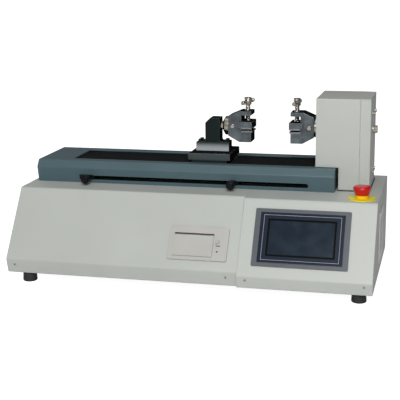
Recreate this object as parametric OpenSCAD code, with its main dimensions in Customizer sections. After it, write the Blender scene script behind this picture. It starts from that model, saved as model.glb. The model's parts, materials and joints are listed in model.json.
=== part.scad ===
// Horizontal tensile testing machine: a bench cabinet with a sloping front carries a rail, a driven
// carriage with a screw grip, and a column that holds the load cell and the second grip.
// Millimetres. X runs along the rail, Y points to the back, Z is up. The origin is on the ground
// plane, under the middle of the cabinet.

/* [Cabinet] */
// Length of the cabinet
cabinet_length = 860; // [850:2:900]
// Depth from the crease of the console to the outside of the rear panel
cabinet_depth = 410; // [404:2:440]
// Height of the cabinet above its underside
cabinet_height = 185; // [178:1:200]
// Thickness of the cabinet's sheet steel
sheet = 2; // [1.5:0.1:2.5]
// Bend radius of the folded sheet
bend_r = 7; // [4:0.5:10]
// Depth of the main cabinet's flat top, from the rear
main_top_depth = 298; // [290:1:310]
// Height of the main cabinet's crease above its underside
main_crease_height = 34; // [28:1:40]
// How far the main cabinet's crease lies behind the console's crease
main_crease_back = 4; // [2:0.5:8]
// How far the main cabinet's skirt runs back below the crease
main_undercut = 8; // [4:0.5:12]
// Length of the console bay at the right
console_length = 304; // [296:2:312]
// Depth of the console's flat top, from the rear
console_top_depth = 312; // [304:1:318]
// Height of the console's crease above its underside
console_crease_height = 27; // [22:1:34]
// How far the console's skirt runs back below the crease
console_undercut = 4; // [3:0.5:8]
// Width of the rim round the opening between the two bays
bay_rim = 24; // [16:1:30]

/* [Base and feet] */
// Thickness of the base plate
base_t = 2.5; // [2:0.5:4]
// Diameter of a rubber foot
foot_d = 34; // [30:1:42]
// Height of a rubber foot
foot_height = 24; // [18:1:30]
// Diameter of the screw hole in a foot
foot_screw_d = 6.4; // [5:0.1:8]
// Distance of the left feet from the left edge
foot_inset_left = 47; // [34:1:60]
// Distance of the right feet from the right edge
foot_inset_right = 33; // [30:1:60]
// Distance of the feet from the front and rear edges
foot_inset_y = 32; // [28:1:50]

/* [Rail] */
// Length of the rail housing
rail_length = 737; // [725:1:745]
// Depth of the rail housing across its top
rail_depth = 172; // [166:1:178]
// Height of the rail housing
rail_height = 54; // [52:1:58]
// Distance of the rail from the left edge of the cabinet
rail_inset = 14; // [8:1:20]
// Distance of the rail from the rear of the cabinet
rail_back_inset = 44; // [36:1:52]
// Wall thickness of the rail housing
rail_wall = 3; // [2:0.25:3.5]
// How far the front of the rail bulges past its top edge
rail_bulge = 13; // [8:1:16]
// Drop of the bulge's ridge below the rail's top
ridge_drop = 16; // [13:1:18]
// How far the foot of the rail's front stands out from its top edge
rail_toe = 5; // [3:0.5:7]
// Radius of the ridge
ridge_r = 5; // [2:0.5:8]
// Width of the long opening in the rail's top
opening_width = 122; // [116:1:126]
// Distance of the opening from the rail's left end
opening_left = 83; // [78:1:90]
// Distance of the opening from the rail's right end
opening_right = 52; // [50:1:58]
// Height of the long slot in the rail's front
stop_slot_height = 8; // [7:0.5:10]
// Height of the slot's middle above the cabinet's top
stop_slot_rise = 14; // [13.5:0.5:15]
// Distance of the slot from the rail's left end
stop_slot_left = 110; // [100:1:120]
// Distance of the slot from the rail's right end
stop_slot_right = 62; // [56:1:70]

/* [Drive] */
// Thickness of the bed that carries the guide rails
bed_t = 8; // [7:0.5:9]
// Width of the bed
bed_width = 120; // [114:1:124]
// Width of a guide rail
guide_width = 12; // [10:0.5:14]
// Height of a guide rail
guide_height = 8; // [7:0.5:9]
// Distance between the two guide rails
guide_spacing = 76; // [72:1:80]
// Outer diameter of the ball screw
screw_d = 16; // [14:0.5:16]
// Diameter of the screw's driven end
journal_d = 12; // [10:0.5:13]
// Diameter of the screw's free end
tail_d = 10; // [8:0.5:12]
// Thickness of the plate that holds the motor and the screw's driven end
drive_plate_t = 12; // [10:1:14]
// Thickness of the block at the screw's free end
tail_block_t = 15; // [10:1:18]
// Radius of the screw's belt pulley
screw_pulley_r = 15; // [13:0.5:15.5]
// Radius of the motor's belt pulley
motor_pulley_r = 10; // [8:0.5:14]
// Width of the belt
belt_width = 8; // [6:0.5:9]
// Thickness of the belt
belt_t = 1.6; // [1.2:0.1:2]
// Distance between the screw's axis and the motor's axis
belt_centres = 117; // [105:1:120]
// Side of the square motor
motor_side = 60; // [56:1:66]
// Length of the motor
motor_length = 80; // [70:1:100]
// Diameter of the motor shaft
motor_shaft_d = 8; // [6:0.5:10]

/* [Carriage] */
// Length of the carriage's top plate
plate_length = 103; // [98:1:108]
// Depth of the carriage's top plate
plate_depth = 116; // [112:1:120]
// Thickness of the carriage's top plate
plate_t = 16; // [14:0.5:18]
// Gap between the rail's top and the carriage's top plate
plate_gap = 6; // [4:0.5:8]
// Length of the riser that passes through the rail's opening
riser_length = 84; // [78:1:88]
// Depth of the riser
riser_depth = 100; // [96:1:108]
// Thickness of the carriage's foot on the guide blocks
saddle_t = 9; // [8:0.5:9.5]
// Length of one guide block
block_length = 32; // [28:1:34]
// Width of one guide block
block_width = 27; // [24:1:30]
// Length of the screw nut
nut_length = 40; // [34:1:46]
// Width of the screw nut
nut_width = 36; // [32:1:37]

/* [Bracket] */
// Length of the bracket's foot
bracket_foot_length = 82; // [76:1:88]
// Height of the bracket's foot
bracket_foot_height = 23; // [20:1:26]
// Length of the bracket's post
post_length = 35.5; // [34:0.5:40]
// Depth of the bracket
bracket_depth = 36; // [32:1:42]
// Rise of the post above the force axis
post_rise = 19.5; // [16:0.5:24]
// Chamfer at the post's outer top edge
post_chamfer = 12; // [8:1:15]
// Fillet where the post meets the foot
bracket_fillet = 4; // [2:0.5:6]
// Diameter of the stud in the post
stud_d = 12; // [10:0.5:13]
// Size across the flats of the stud's lock nut
lock_nut_flats = 18; // [16:1:22]
// Thickness of the stud's lock nut
lock_nut_t = 8; // [6:0.5:8.5]

/* [Grips] */
// Height of the force axis above the rail's top
force_rise = 83.5; // [80:0.5:86]
// Distance between the two grips at rest
grip_gap = 96; // [90:1:104]
// Distance from the column to the back of its grip
grip_standoff = 11; // [9:0.5:14]
// Gap between the carriage's middle and the mouth of its grip
grip_reach = 97; // [96:1:100]
// Length of a grip body
grip_length = 56; // [54:1:60]
// Depth of a grip body
grip_depth = 48; // [44:1:54]
// Depth of the throat from the mouth
throat = 24; // [22:1:26]
// Thickness of the upper arm
arm_t = 9.5; // [8:0.5:12]
// How far the mouth's middle lies below the force axis
mouth_drop = 6.5; // [0:0.5:7]
// How far the jaws stand out of the mouth
jaw_reach = 3; // [0:0.5:4]
// Height of the lower arm below its jaw pad
lower_arm = 24.2; // [22:0.2:27]
// Drop of the sloping top from the arm to the back
top_slope_drop = 11.5; // [8:0.5:14]
// Rise of the sloping bottom from the arm to the back
bottom_slope_rise = 15; // [10:0.5:17]
// Length of the sloping parts
slope_length = 27; // [24:1:30]
// Width of the moving jaw
jaw_width = 60; // [58:1:64]
// Height of the moving jaw
jaw_height = 14; // [12:0.5:15]
// Thickness of a jaw pad
pad_t = 3.5; // [3:0.25:4.5]
// Gap between the pads at rest
jaw_gap = 4.8; // [4.6:0.1:6]
// How far the jaw can open from rest
jaw_lift = 14; // [12:0.5:15]
// Diameter of the grip screw
grip_screw_d = 12; // [11:0.5:13]
// Diameter of the grip screw's tip in the jaw
screw_tip_d = 8; // [6:0.5:9]
// Diameter of the grip screw's head
screw_head_d = 18; // [16:0.5:20]
// Height of the grip screw's head
screw_head_height = 17.5; // [15:0.5:19]
// Free length of the grip screw between the arm and the head
screw_free = 14; // [10:0.5:16]
// Diameter of the tommy bar
bar_d = 5; // [4:0.5:6]
// Length of the tommy bar
bar_length = 68; // [60:1:76]
// Diameter of the tommy bar's end caps
bar_cap_d = 10; // [8:0.5:12]
// Length of the tommy bar's end caps
bar_cap_length = 8; // [5:0.5:9]
// Turn of the left tommy bar from the rail's direction
left_bar_turn = 79; // [0:1:180]
// Turn of the right tommy bar from the rail's direction
right_bar_turn = 86; // [0:1:180]
// Diameter of the shank in a grip's socket
shank_d = 16; // [14:0.5:17]
// Depth of a grip's socket
socket_depth = 22; // [20:0.5:24]
// Diameter of the ring nut behind a grip
collar_d = 46; // [42:1:47]
// Thickness of the ring nut's full rim
collar_rim = 10; // [8:0.5:10]
// Diameter of the coupling pin
pin_d = 7; // [6:0.5:8]
// Distance of the coupling pin from the back of the grip
pin_inset = 11; // [10:0.5:13]
// Height of the coupling pin above the force axis
pin_rise = 1.5; // [0:0.25:2]
// Diameter of the coupling pin's head
pin_head_d = 11; // [10:0.5:13]
// Thickness of the coupling pin's head
pin_head_t = 4; // [3:0.5:6]

/* [Column] */
// Length of the column's upper part
column_length = 126; // [122:1:130]
// Length of the column's overhang above the rail
overhang = 54; // [52:1:56]
// Depth of the column
column_depth = 155; // [150:1:160]
// Height of the column above the cabinet's top
column_height = 216; // [212:1:224]
// Gap between the rail's top and the column's overhang
column_gap = 1; // [0.5:0.5:3]
// Distance from the rail's right end back to the column's left face
column_lap = 48; // [46:1:49]
// Thickness of the dark foot plate under the column
column_foot_t = 2; // [1.5:0.25:3]
// Width of the side cover's flange on the column's front
side_flange = 24; // [18:1:30]
// How far the side cover's flanges slope back towards the side
side_bevel = 5; // [2:0.5:8]
// Thickness of the load frame's wall
frame_wall = 12; // [10:1:14]
// Length of the load cell
cell_length = 46; // [40:1:47]
// Height of the load cell
cell_height = 60; // [54:1:66]
// Depth of the load cell
cell_depth = 25; // [20:1:30]

/* [Touch panel] */
// Width of the touch panel's bezel
panel_width = 216; // [208:1:224]
// Height of the touch panel's bezel
panel_height = 136; // [130:1:142]
// Thickness of the bezel in front of the slope
panel_t = 4; // [3:0.5:6]
// Share of the free slope that lies above the bezel
panel_place = 0.48; // [0.42:0.01:0.56]
// Width of the display glass
glass_width = 154; // [148:1:160]
// Height of the display glass
glass_height = 87; // [80:1:92]
// Depth of the display's rear case behind the slope
panel_case_depth = 22; // [16:1:28]
// Distance of the bezel from the cabinet's right edge
panel_inset = 57; // [48:1:62]

/* [Printer] */
// Width of the printer's frame
printer_width = 139; // [136:1:144]
// Height of the printer's frame
printer_height = 82; // [80:1:84]
// Thickness of the printer's frame in front of the slope
printer_t = 5; // [4:0.5:6]
// Share of the free slope that lies above the printer
printer_place = 0.78; // [0.7:0.01:0.8]
// Distance of the printer from the console bay
printer_inset = 26; // [22:1:40]
// Width of the printer's door
door_width = 93; // [90:1:96]
// Height of the printer's door
door_height = 57; // [55:1:59]
// Thickness of the printer's door
door_t = 5; // [4:0.5:6]
// Distance of the door from the printer's left edge
door_inset = 12; // [9:1:13]
// Distance of the door from the printer's lower edge
door_rise = 8; // [7:0.5:10]
// Depth of the paper bay behind the slope
bay_depth = 46; // [44:1:50]
// Diameter of the paper roll
roll_d = 36; // [30:1:38]
// Width of the paper roll
roll_width = 57; // [50:1:60]
// Diameter of the paper roll's core hole
roll_core_d = 12; // [10:1:14]
// Width of the feed button
button_width = 8; // [7:0.5:12]
// Height of the feed button
button_height = 9; // [8:0.5:14]
// Distance of the feed button from the door's opening
button_gap = 5; // [4:0.5:8]

/* [Stop button] */
// Diameter of the yellow disc
disc_d = 63; // [58:1:66]
// Thickness of the yellow disc
disc_t = 2; // [1:0.25:3]
// Diameter of the collar
button_collar_d = 29; // [28:0.5:31]
// Height of the collar
button_collar_height = 7.5; // [6:0.5:9]
// Diameter of the mushroom head
mushroom_d = 41; // [38:1:44]
// Height of the button's top above the cabinet's top
mushroom_top = 31; // [29:0.5:34]
// Distance of the button from the cabinet's right edge
button_inset_x = 40.5; // [38:0.5:46]
// Distance of the button from the console's top front edge
button_inset_y = 40; // [36:0.5:46]
// Travel of the button
button_travel = 4; // [3:0.5:5]
// Diameter of the button's barrel
barrel_d = 22; // [20:0.5:23]
// Diameter of the button's stem
stem_d = 14; // [12:0.5:15]

/* [Travel stops] */
// Distance of the left stop from the rail's left end
left_stop_x = 135; // [126:0.5:145]
// Distance of the right stop from the rail's left end
right_stop_x = 496; // [480:1:505]
// Diameter of a stop knob
knob_d = 20; // [17:0.5:22]
// Length of a stop knob's fluted grip
knob_length = 15; // [9:0.5:18]
// Diameter of a stop knob's neck
knob_neck_d = 12; // [10:0.5:13]
// Length of a stop knob's neck
knob_neck = 18; // [12:0.5:20]
// Number of flutes round a stop knob
knob_flutes = 18; // [14:1:24]
// Diameter of a stop's clamp screw
clamp_screw_d = 5; // [4:0.5:5]
// Reach of the left stop's clamp plate on the outer side of its knob
left_stop_plate = 25; // [18:1:30]
// Reach of a stop's clamp plate on the inner side of its knob
stop_plate_inner = 8; // [6:0.5:14]
// Height of a stop's clamp plate
stop_plate_height = 12; // [10:0.5:14]

/* [Rear and side] */
// Thickness of the rear panel
rear_panel_t = 2; // [1.5:0.25:3]
// Width of the rear panel
rear_panel_width = 210; // [190:2:230]
// Height of the rear panel
rear_panel_height = 130; // [120:1:140]
// Number of slots in the rear panel
grille_slots = 11; // [7:1:13]
// Pitch of the slots in the rear panel
grille_pitch = 8; // [7:0.5:9]
// Overlap of the rear panel on the cabinet round its opening
panel_overlap = 9; // [6:0.5:12]
// Thickness of the side vent plate
vent_t = 1.5; // [1:0.25:2]
// Depth of the side vent plate
vent_depth = 100; // [90:2:110]
// Height of the side vent plate
vent_height = 120; // [110:2:130]
// Number of slots in the side vent plate
vent_slots = 9; // [6:1:11]
// Width of the power inlet
inlet_width = 47; // [44:1:50]
// Height of the power inlet
inlet_height = 27; // [26:1:30]

/* [Electronics] */
// Length of the power supply
supply_length = 150; // [130:2:170]
// Depth of the power supply
supply_depth = 98; // [86:2:104]
// Height of the power supply
supply_height = 42; // [34:1:50]
// Length of the control board
board_length = 160; // [140:2:180]
// Depth of the control board
board_depth = 100; // [80:2:110]
// Distance of the power supply and the board from the join of the two bays
electronics_inset = 44; // [36:1:60]

/* [Clearances] */
// Gap between a rail, slot or flat guide and what slides on it
slide_gap = 0.3; // [0.3:0.05:0.5]
// Radial gap between a shaft and its bore
running_gap = 0.05; // [0.02:0.01:0.08]
// Gap between a fixed piece and the cut-out that it fills
fit_gap = 0.3; // [0.2:0.05:0.5]

/* [Hidden] */
$fn = 48;
eps = 0.01;

// Colours as the finished machine shows them
pale_grey = [0.76, 0.77, 0.75];
rail_blue = [0.36, 0.44, 0.47];
black = [0.06, 0.06, 0.07];
dark_grey = [0.22, 0.23, 0.24];
gunmetal = [0.24, 0.27, 0.29];
steel = [0.66, 0.68, 0.70];
beige = [0.70, 0.67, 0.62];

// Edges of the cabinet
left_edge = -cabinet_length / 2;
right_edge = cabinet_length / 2;
rear_edge = cabinet_depth / 2;
front_edge = -cabinet_depth / 2;
rear_wall_y = rear_edge - rear_panel_t;
right_wall_x = right_edge - vent_t;
underside = foot_height;
deck = foot_height + cabinet_height;
split_x = right_edge - console_length;

// Side profiles of the two bays, as points of Y and Z
main_top_y = rear_edge - main_top_depth;
main_crease_y = front_edge + main_crease_back;
main_crease_z = underside + main_crease_height;
main_skirt_y = main_crease_y + main_undercut;
console_top_y = rear_edge - console_top_depth;
console_crease_z = underside + console_crease_height;
console_skirt_y = front_edge + console_undercut;
main_slope = atan2(deck - main_crease_z, main_top_y - main_crease_y);
console_slope = atan2(deck - console_crease_z, console_top_y - front_edge);
main_skirt_tilt = atan2(main_undercut, main_crease_height);
console_skirt_tilt = atan2(console_undercut, console_crease_height);

// Rail, force axis and column
rail_x0 = left_edge + rail_inset;
rail_x1 = rail_x0 + rail_length;
rail_y1 = rear_edge - rail_back_inset;
rail_y0 = rail_y1 - rail_depth;
rail_top = deck + rail_height;
axis_y = (rail_y0 + rail_y1) / 2;
axis_z = rail_top + force_rise;
ridge_y = rail_y0 - rail_bulge;
ridge_z = rail_top - ridge_drop;
toe_y = rail_y0 - rail_toe;
opening_x0 = rail_x0 + opening_left;
opening_x1 = rail_x1 - opening_right;
column_x0 = rail_x1 - column_lap;
column_x1 = column_x0 + column_length;
column_step_x = column_x0 + overhang;
column_y1 = rail_y1;
column_y0 = column_y1 - column_depth;
column_top = deck + column_height;
column_foot_top = deck + column_foot_t;
overhang_z = rail_top + column_gap;

// The rail's front face below the ridge: it leans back towards the deck
rail_face_tilt = atan2(toe_y - ridge_y, ridge_z - deck);
stop_slot_z = deck + stop_slot_rise;
stop_face_y = toe_y - (toe_y - ridge_y) * stop_slot_rise / (ridge_z - deck);
stop_slot_x0 = rail_x0 + stop_slot_left;
stop_slot_x1 = rail_x1 - stop_slot_right;

// Drive inside the rail
guide_top = deck + bed_t + guide_height;
block_top = guide_top + 12;
saddle_top = block_top + saddle_t;
groove_floor = deck + 3;
groove_width = nut_width + 4;
drive_plate_x0 = rail_x0 + rail_wall + 15;
drive_plate_x1 = drive_plate_x0 + drive_plate_t;
drive_plate_width = 64;
tail_block_x1 = rail_x1 - rail_wall - 18;
tail_block_x0 = tail_block_x1 - tail_block_t;
screw_z = block_top - 10;
motor_z = screw_z - belt_centres;
belt_x1 = drive_plate_x0 - 3;
belt_x0 = belt_x1 - belt_width;
pulley_flange = 1;
pulley_rim = 1.2;
shaft_end_x = belt_x0 - pulley_flange;
deck_slot_margin = 2;

// Places along the rail, from the column back to the carriage
right_back_x = column_x0 - grip_standoff;
right_mouth_x = right_back_x - grip_length;
left_mouth_x = right_mouth_x - grip_gap;
carriage_x = left_mouth_x - grip_reach;

// Carriage
plate_z0 = rail_top + plate_gap;
plate_z1 = plate_z0 + plate_t;
saddle_length = riser_length + 6;
block_gap = riser_length - 2 * block_length;
trip_z = saddle_top - 7.5;

// Bellows
pleat_pitch = 8.2;
bellows_top = rail_top - 2;
pleat_depth = 10;
bellows_skin = 1.4;
bellows_flange_t = 2;
bellows_hem = 8;
bellows_width = opening_width - 4;

// Grips, measured from the force axis and from the mouth
ring_gap = 1.5;
throat_r = 1.2;
upper_face = jaw_gap / 2 - mouth_drop;
lower_face = -jaw_gap / 2 - mouth_drop;
upper_seat = upper_face + pad_t;
lower_seat = lower_face - pad_t;
jaw_top = upper_seat + jaw_height;
window_top = jaw_top + jaw_lift + throat_r;
arm_top = window_top + arm_t;
lower_end = lower_seat - lower_arm;
head_z = arm_top + screw_free;
bar_z = head_z + screw_head_height * 0.42;
screw_x = -throat / 2;
jaw_front_x = jaw_reach;
jaw_back_x = -throat + slide_gap;
cheek_back_x = -throat - 6;
pin_x = -grip_length + pin_inset;
tip_depth = 6;
shank_end_x = -grip_length + socket_depth - 0.5;

// Bracket on the carriage
post_x1 = carriage_x + post_length / 2;
post_top = axis_z + post_rise;
grip_back_x = left_mouth_x - grip_length;
lock_nut_x1 = post_x1 + lock_nut_t;
collar_x1 = grip_back_x;
collar_bevel_x = collar_x1 - collar_rim;
collar_x0 = lock_nut_x1 + 0.2;
collar_small_d = 30;

// Column, load path
frame_x0 = column_x0 + 77;
frame_x1 = frame_x0 + frame_wall;
cell_x1 = frame_x0 - 7;
cell_x0 = cell_x1 - cell_length;
wall_hole_d = shank_d + 14;
flange_x0 = column_x1 - side_flange;

// Panels on the slopes, measured down the slope from the flat top's edge
main_slope_length = norm([deck - main_crease_z, main_top_y - main_crease_y]);
console_slope_length = norm([deck - console_crease_z, console_top_y - front_edge]);
panel_drop = panel_place * (console_slope_length - panel_height);
printer_drop = printer_place * (main_slope_length - printer_height);
panel_x1 = right_edge - panel_inset;
panel_x0 = panel_x1 - panel_width;
printer_x1 = split_x - printer_inset;
printer_x0 = printer_x1 - printer_width;
door_x0 = printer_x0 + door_inset;
door_y0 = -printer_drop - printer_height + door_rise;
door_y1 = door_y0 + door_height;
hinge_y = door_y0 + door_t / 2 + slide_gap;
hinge_z = printer_t + 1 - door_t / 2;
hinge_pin_d = 2.4;
feed_button_x = door_x0 + door_width + button_gap + button_width / 2;
feed_button_y = -printer_drop - 36;

// Stop button
button_x = right_edge - button_inset_x;
button_y = console_top_y + button_inset_y;
collar_z = deck + disc_t;
collar_top = collar_z + button_collar_height;
head_base = collar_top + 0.5;
head_cavity_top = head_base + button_travel;
head_socket_top = deck + mushroom_top - 10;

// Rear panel and side vent
rear_panel_x1 = right_edge - 30;
rear_panel_x0 = rear_panel_x1 - rear_panel_width;
rear_panel_z0 = underside + 26;
rear_panel_z1 = rear_panel_z0 + rear_panel_height;
inlet_x = rear_panel_x0 + inlet_width / 2 + 3 * panel_overlap;
inlet_z = rear_panel_z0 + inlet_height / 2 + 2.5 * panel_overlap;
inlet_face_y = rear_edge - 2.6;
foot_counterbore = 9;
vent_y0 = -40;
vent_z0 = underside + 26;

function unit(v) = v / norm(v);

// Arc of radius r that rounds the corner b between the lines to a and to c
function round_corner(a, b, c, r, steps = 6) =
    let (
        u = unit(a - b),
        v = unit(c - b),
        half = acos(u * v) / 2,
        centre = b + unit(u + v) * r / sin(half),
        first = unit(b + u * r / tan(half) - centre),
        last = unit(b + v * r / tan(half) - centre)
    )
    [for (i = [0:steps]) centre + unit(first * (1 - i / steps) + last * i / steps) * r];

// Closed outline, anticlockwise, moved inwards by t
function inset_outline(p, t) =
    let (n = len(p))
    [for (i = [0:n - 1])
        let (
            before = unit(p[i] - p[(i + n - 1) % n]),
            after = unit(p[(i + 1) % n] - p[i]),
            n1 = [-before[1], before[0]],
            n2 = [-after[1], after[0]]
        )
        p[i] + (n1 + n2) * t / (1 + n1 * n2)];

// Side profile of a bay: rear wall, flat top, slope and skirt
function bay_outline(top_y, crease_y, crease_z, skirt_y, bottom) = concat(
    [[skirt_y, bottom], [rear_wall_y, bottom], [rear_wall_y, deck]],
    round_corner([rear_wall_y, deck], [top_y, deck], [crease_y, crease_z], bend_r),
    round_corner([top_y, deck], [crease_y, crease_z], [skirt_y, underside], bend_r));

function main_outline(bottom) =
    bay_outline(main_top_y, main_crease_y, main_crease_z, main_skirt_y, bottom);

// Corners of the main bay's profile, with the bottom low enough for the rim to stay open there
main_corners = [[main_skirt_y, underside - bay_rim - 1], [rear_wall_y, underside - bay_rim - 1],
    [rear_wall_y, deck], [main_top_y, deck], [main_crease_y, main_crease_z]];

function console_outline(bottom) =
    bay_outline(console_top_y, front_edge, console_crease_z, console_skirt_y, bottom);

function rail_outline(bottom) = concat(
    [[toe_y, bottom], [rail_y1, bottom], [rail_y1, rail_top], [rail_y0, rail_top]],
    round_corner([rail_y0, rail_top], [ridge_y, ridge_z], [toe_y, deck], ridge_r));

function column_outline(bottom) = [
    [column_step_x, bottom], [column_x1, bottom], [column_x1, column_top],
    [column_x0, column_top], [column_x0, overhang_z], [column_step_x, overhang_z]];

// Outline of a grip body, X back from the mouth and Z from the force axis
function grip_outline() = concat(
    [[-grip_length, lower_end + bottom_slope_rise], [-grip_length + slope_length, lower_end],
        [0, lower_end], [0, lower_seat], [-throat, lower_seat]],
    round_corner([-throat, lower_seat], [-throat, window_top], [0, window_top], throat_r),
    [[0, window_top], [0, arm_top], [-grip_length + slope_length, arm_top],
        [-grip_length, arm_top - top_slope_drop]]);

module block(x0, x1, y0, y1, z0, z1) {
    translate([x0, y0, z0]) cube([x1 - x0, y1 - y0, z1 - z0]);
}

// Drawing of Y and Z, drawn out along X
module along_x(x0, x1) {
    translate([x0, 0, 0]) rotate([90, 0, 90]) linear_extrude(x1 - x0) children();
}

// Drawing of X and Z, drawn out along Y
module along_y(y0, y1) {
    translate([0, y1, 0]) rotate([90, 0, 0]) linear_extrude(y1 - y0) children();
}

module rod_x(x0, x1, y, z, d) {
    translate([x0, y, z]) rotate([0, 90, 0]) cylinder(h = x1 - x0, d = d);
}

module rod_y(x, y0, y1, z, d) {
    translate([x, y1, z]) rotate([90, 0, 0]) cylinder(h = y1 - y0, d = d);
}

module rod_z(x, y, z0, z1, d) {
    translate([x, y, z0]) cylinder(h = z1 - z0, d = d);
}

// Frames on the slopes: X along the machine, Y up the slope, Z out of it
module on_main_slope() {
    translate([0, main_top_y, deck]) rotate([main_slope, 0, 0]) children();
}

module on_console_slope() {
    translate([0, console_top_y, deck]) rotate([console_slope, 0, 0]) children();
}

// Frame on the rail's front face at the middle of the slot: Y up the face, Z out of it
module on_rail_face(x) {
    translate([x, stop_face_y, stop_slot_z]) rotate([90 + rail_face_tilt, 0, 0]) children();
}

// Frame of a grip: the origin on the force axis at the mouth, the body on the negative side of X
module at_left_grip() {
    translate([left_mouth_x, axis_y, axis_z]) children();
}

module at_right_grip() {
    translate([right_mouth_x, axis_y, axis_z]) mirror([1, 0, 0]) children();
}

// Rectangle with round corners, drawn as exact arcs
module round_rect(x0, x1, y0, y1, r) {
    polygon(concat(
        round_corner([x0, y1], [x0, y0], [x1, y0], r),
        round_corner([x0, y0], [x1, y0], [x1, y1], r),
        round_corner([x1, y0], [x1, y1], [x0, y1], r),
        round_corner([x1, y1], [x0, y1], [x0, y0], r)));
}

module cabinet_shell() {
    color(pale_grey) difference() {
        along_x(left_edge, split_x) polygon(main_outline(underside));
        along_x(left_edge + sheet, split_x + 1)
            polygon(inset_outline(main_outline(underside - sheet - 1), sheet));
        // Opening for the belt and the drive plate
        block(belt_x0 - deck_slot_margin, drive_plate_x1 + fit_gap,
            axis_y - drive_plate_width / 2 - fit_gap, axis_y + drive_plate_width / 2 + fit_gap,
            deck - sheet - 1, deck + 1);
        // Opening for the printer's paper bay
        on_main_slope() block(door_x0 - sheet - fit_gap, door_x0 + door_width + sheet + fit_gap,
            door_y0 - sheet - fit_gap, door_y1 + sheet + fit_gap, -sheet - 1, 1);
        on_main_slope() translate([feed_button_x, feed_button_y, -sheet - 1]) cylinder(h = sheet + 2, d = 9);
    }
}

module console_housing() {
    color(pale_grey) difference() {
        along_x(split_x, right_wall_x) polygon(console_outline(underside));
        along_x(split_x + sheet, right_wall_x - sheet)
            polygon(inset_outline(console_outline(underside - sheet - 1), sheet));
        // Opening between the bays, with a rim that closes the step between the two profiles
        along_x(split_x - 1, split_x + sheet + 1) polygon(inset_outline(main_corners, bay_rim));
        // Opening behind the touch panel
        on_console_slope() block(panel_x0 + 14, panel_x1 - 14, -panel_drop - panel_height + 12,
            -panel_drop - 12, -sheet - 1, 1);
        rod_z(button_x, button_y, deck - sheet - 1, deck + 1, barrel_d + 2 * fit_gap);
        // Cable hole under the column
        rod_z(column_x1 - 22, column_y1 - 30, deck - sheet - 1, deck + 1, 20);
        // Openings behind the rear panel and the side vent
        block(rear_panel_x0 + panel_overlap, rear_panel_x1 - panel_overlap,
            rear_wall_y - sheet - 1, rear_wall_y + 1,
            rear_panel_z0 + panel_overlap, rear_panel_z1 - panel_overlap);
        block(right_wall_x - sheet - 1, right_wall_x + 1,
            vent_y0 + panel_overlap, vent_y0 + vent_depth - panel_overlap,
            vent_z0 + panel_overlap, vent_z0 + vent_height - panel_overlap);
    }
}

module foot_places() {
    for (x = [left_edge + foot_inset_left, right_edge - foot_inset_right])
        for (y = [front_edge + foot_inset_y, rear_edge - foot_inset_y])
            translate([x, y, 0]) children();
}

module base_plate() {
    color(dark_grey) difference() {
        union() {
            block(left_edge + sheet + fit_gap, split_x + eps, main_skirt_y + sheet + fit_gap,
                rear_wall_y - sheet - fit_gap, underside, underside + base_t);
            block(split_x + sheet + fit_gap, right_wall_x - sheet - fit_gap,
                console_skirt_y + sheet + fit_gap, rear_wall_y - sheet - fit_gap,
                underside, underside + base_t);
            // Tongue through the opening between the bays
            block(split_x - 1, split_x + sheet + fit_gap + 1, main_skirt_y + bay_rim + sheet,
                rear_wall_y - bay_rim - sheet, underside, underside + base_t);
        }
        foot_places() translate([0, 0, underside - 1]) cylinder(h = base_t + 2, d = foot_screw_d);
    }
}

// Rubber foot: tapered body, rounded lower edge, counterbore for the screw's head
module rubber_feet() {
    shoulder = 3;
    color(black) foot_places() rotate_extrude() polygon(concat(
        [[foot_screw_d / 2, foot_counterbore], [foot_screw_d / 2, foot_height], [foot_d / 2 - 1, foot_height]],
        [for (i = [0:5]) [foot_d / 2 - shoulder + shoulder * cos(15 * i),
            shoulder - shoulder * sin(15 * i)]],
        [[foot_d / 2 - shoulder, 0], [7, 0], [7, foot_counterbore]]));
}

module rear_panel() {
    slot_height = rear_panel_height * 0.35;
    grille_x0 = rear_panel_x1 - 2 * panel_overlap - grille_slots * grille_pitch;
    grille_top = rear_panel_z1 - 2 * panel_overlap;
    color(pale_grey) difference() {
        block(rear_panel_x0, rear_panel_x1, rear_wall_y, rear_edge, rear_panel_z0, rear_panel_z1);
        block(inlet_x - inlet_width / 2 - fit_gap, inlet_x + inlet_width / 2 + fit_gap,
            rear_wall_y - 1, rear_edge + 1, inlet_z - inlet_height / 2 - fit_gap,
            inlet_z + inlet_height / 2 + fit_gap);
        for (i = [0:grille_slots - 1])
            block(grille_x0 + grille_pitch * i, grille_x0 + grille_pitch * (i + 0.5), rear_wall_y - 1,
                rear_edge + 1, grille_top - slot_height, grille_top);
    }
}

module side_vent_plate() {
    pitch = (vent_height - 30) / vent_slots;
    color(pale_grey) difference() {
        block(right_wall_x, right_edge, vent_y0, vent_y0 + vent_depth, vent_z0, vent_z0 + vent_height);
        for (i = [0:vent_slots - 1])
            block(right_wall_x - 1, right_edge + 1, vent_y0 + 15, vent_y0 + vent_depth - 15,
                vent_z0 + 15 + pitch * (i + 0.3), vent_z0 + 15 + pitch * (i + 0.7));
    }
}

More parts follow.
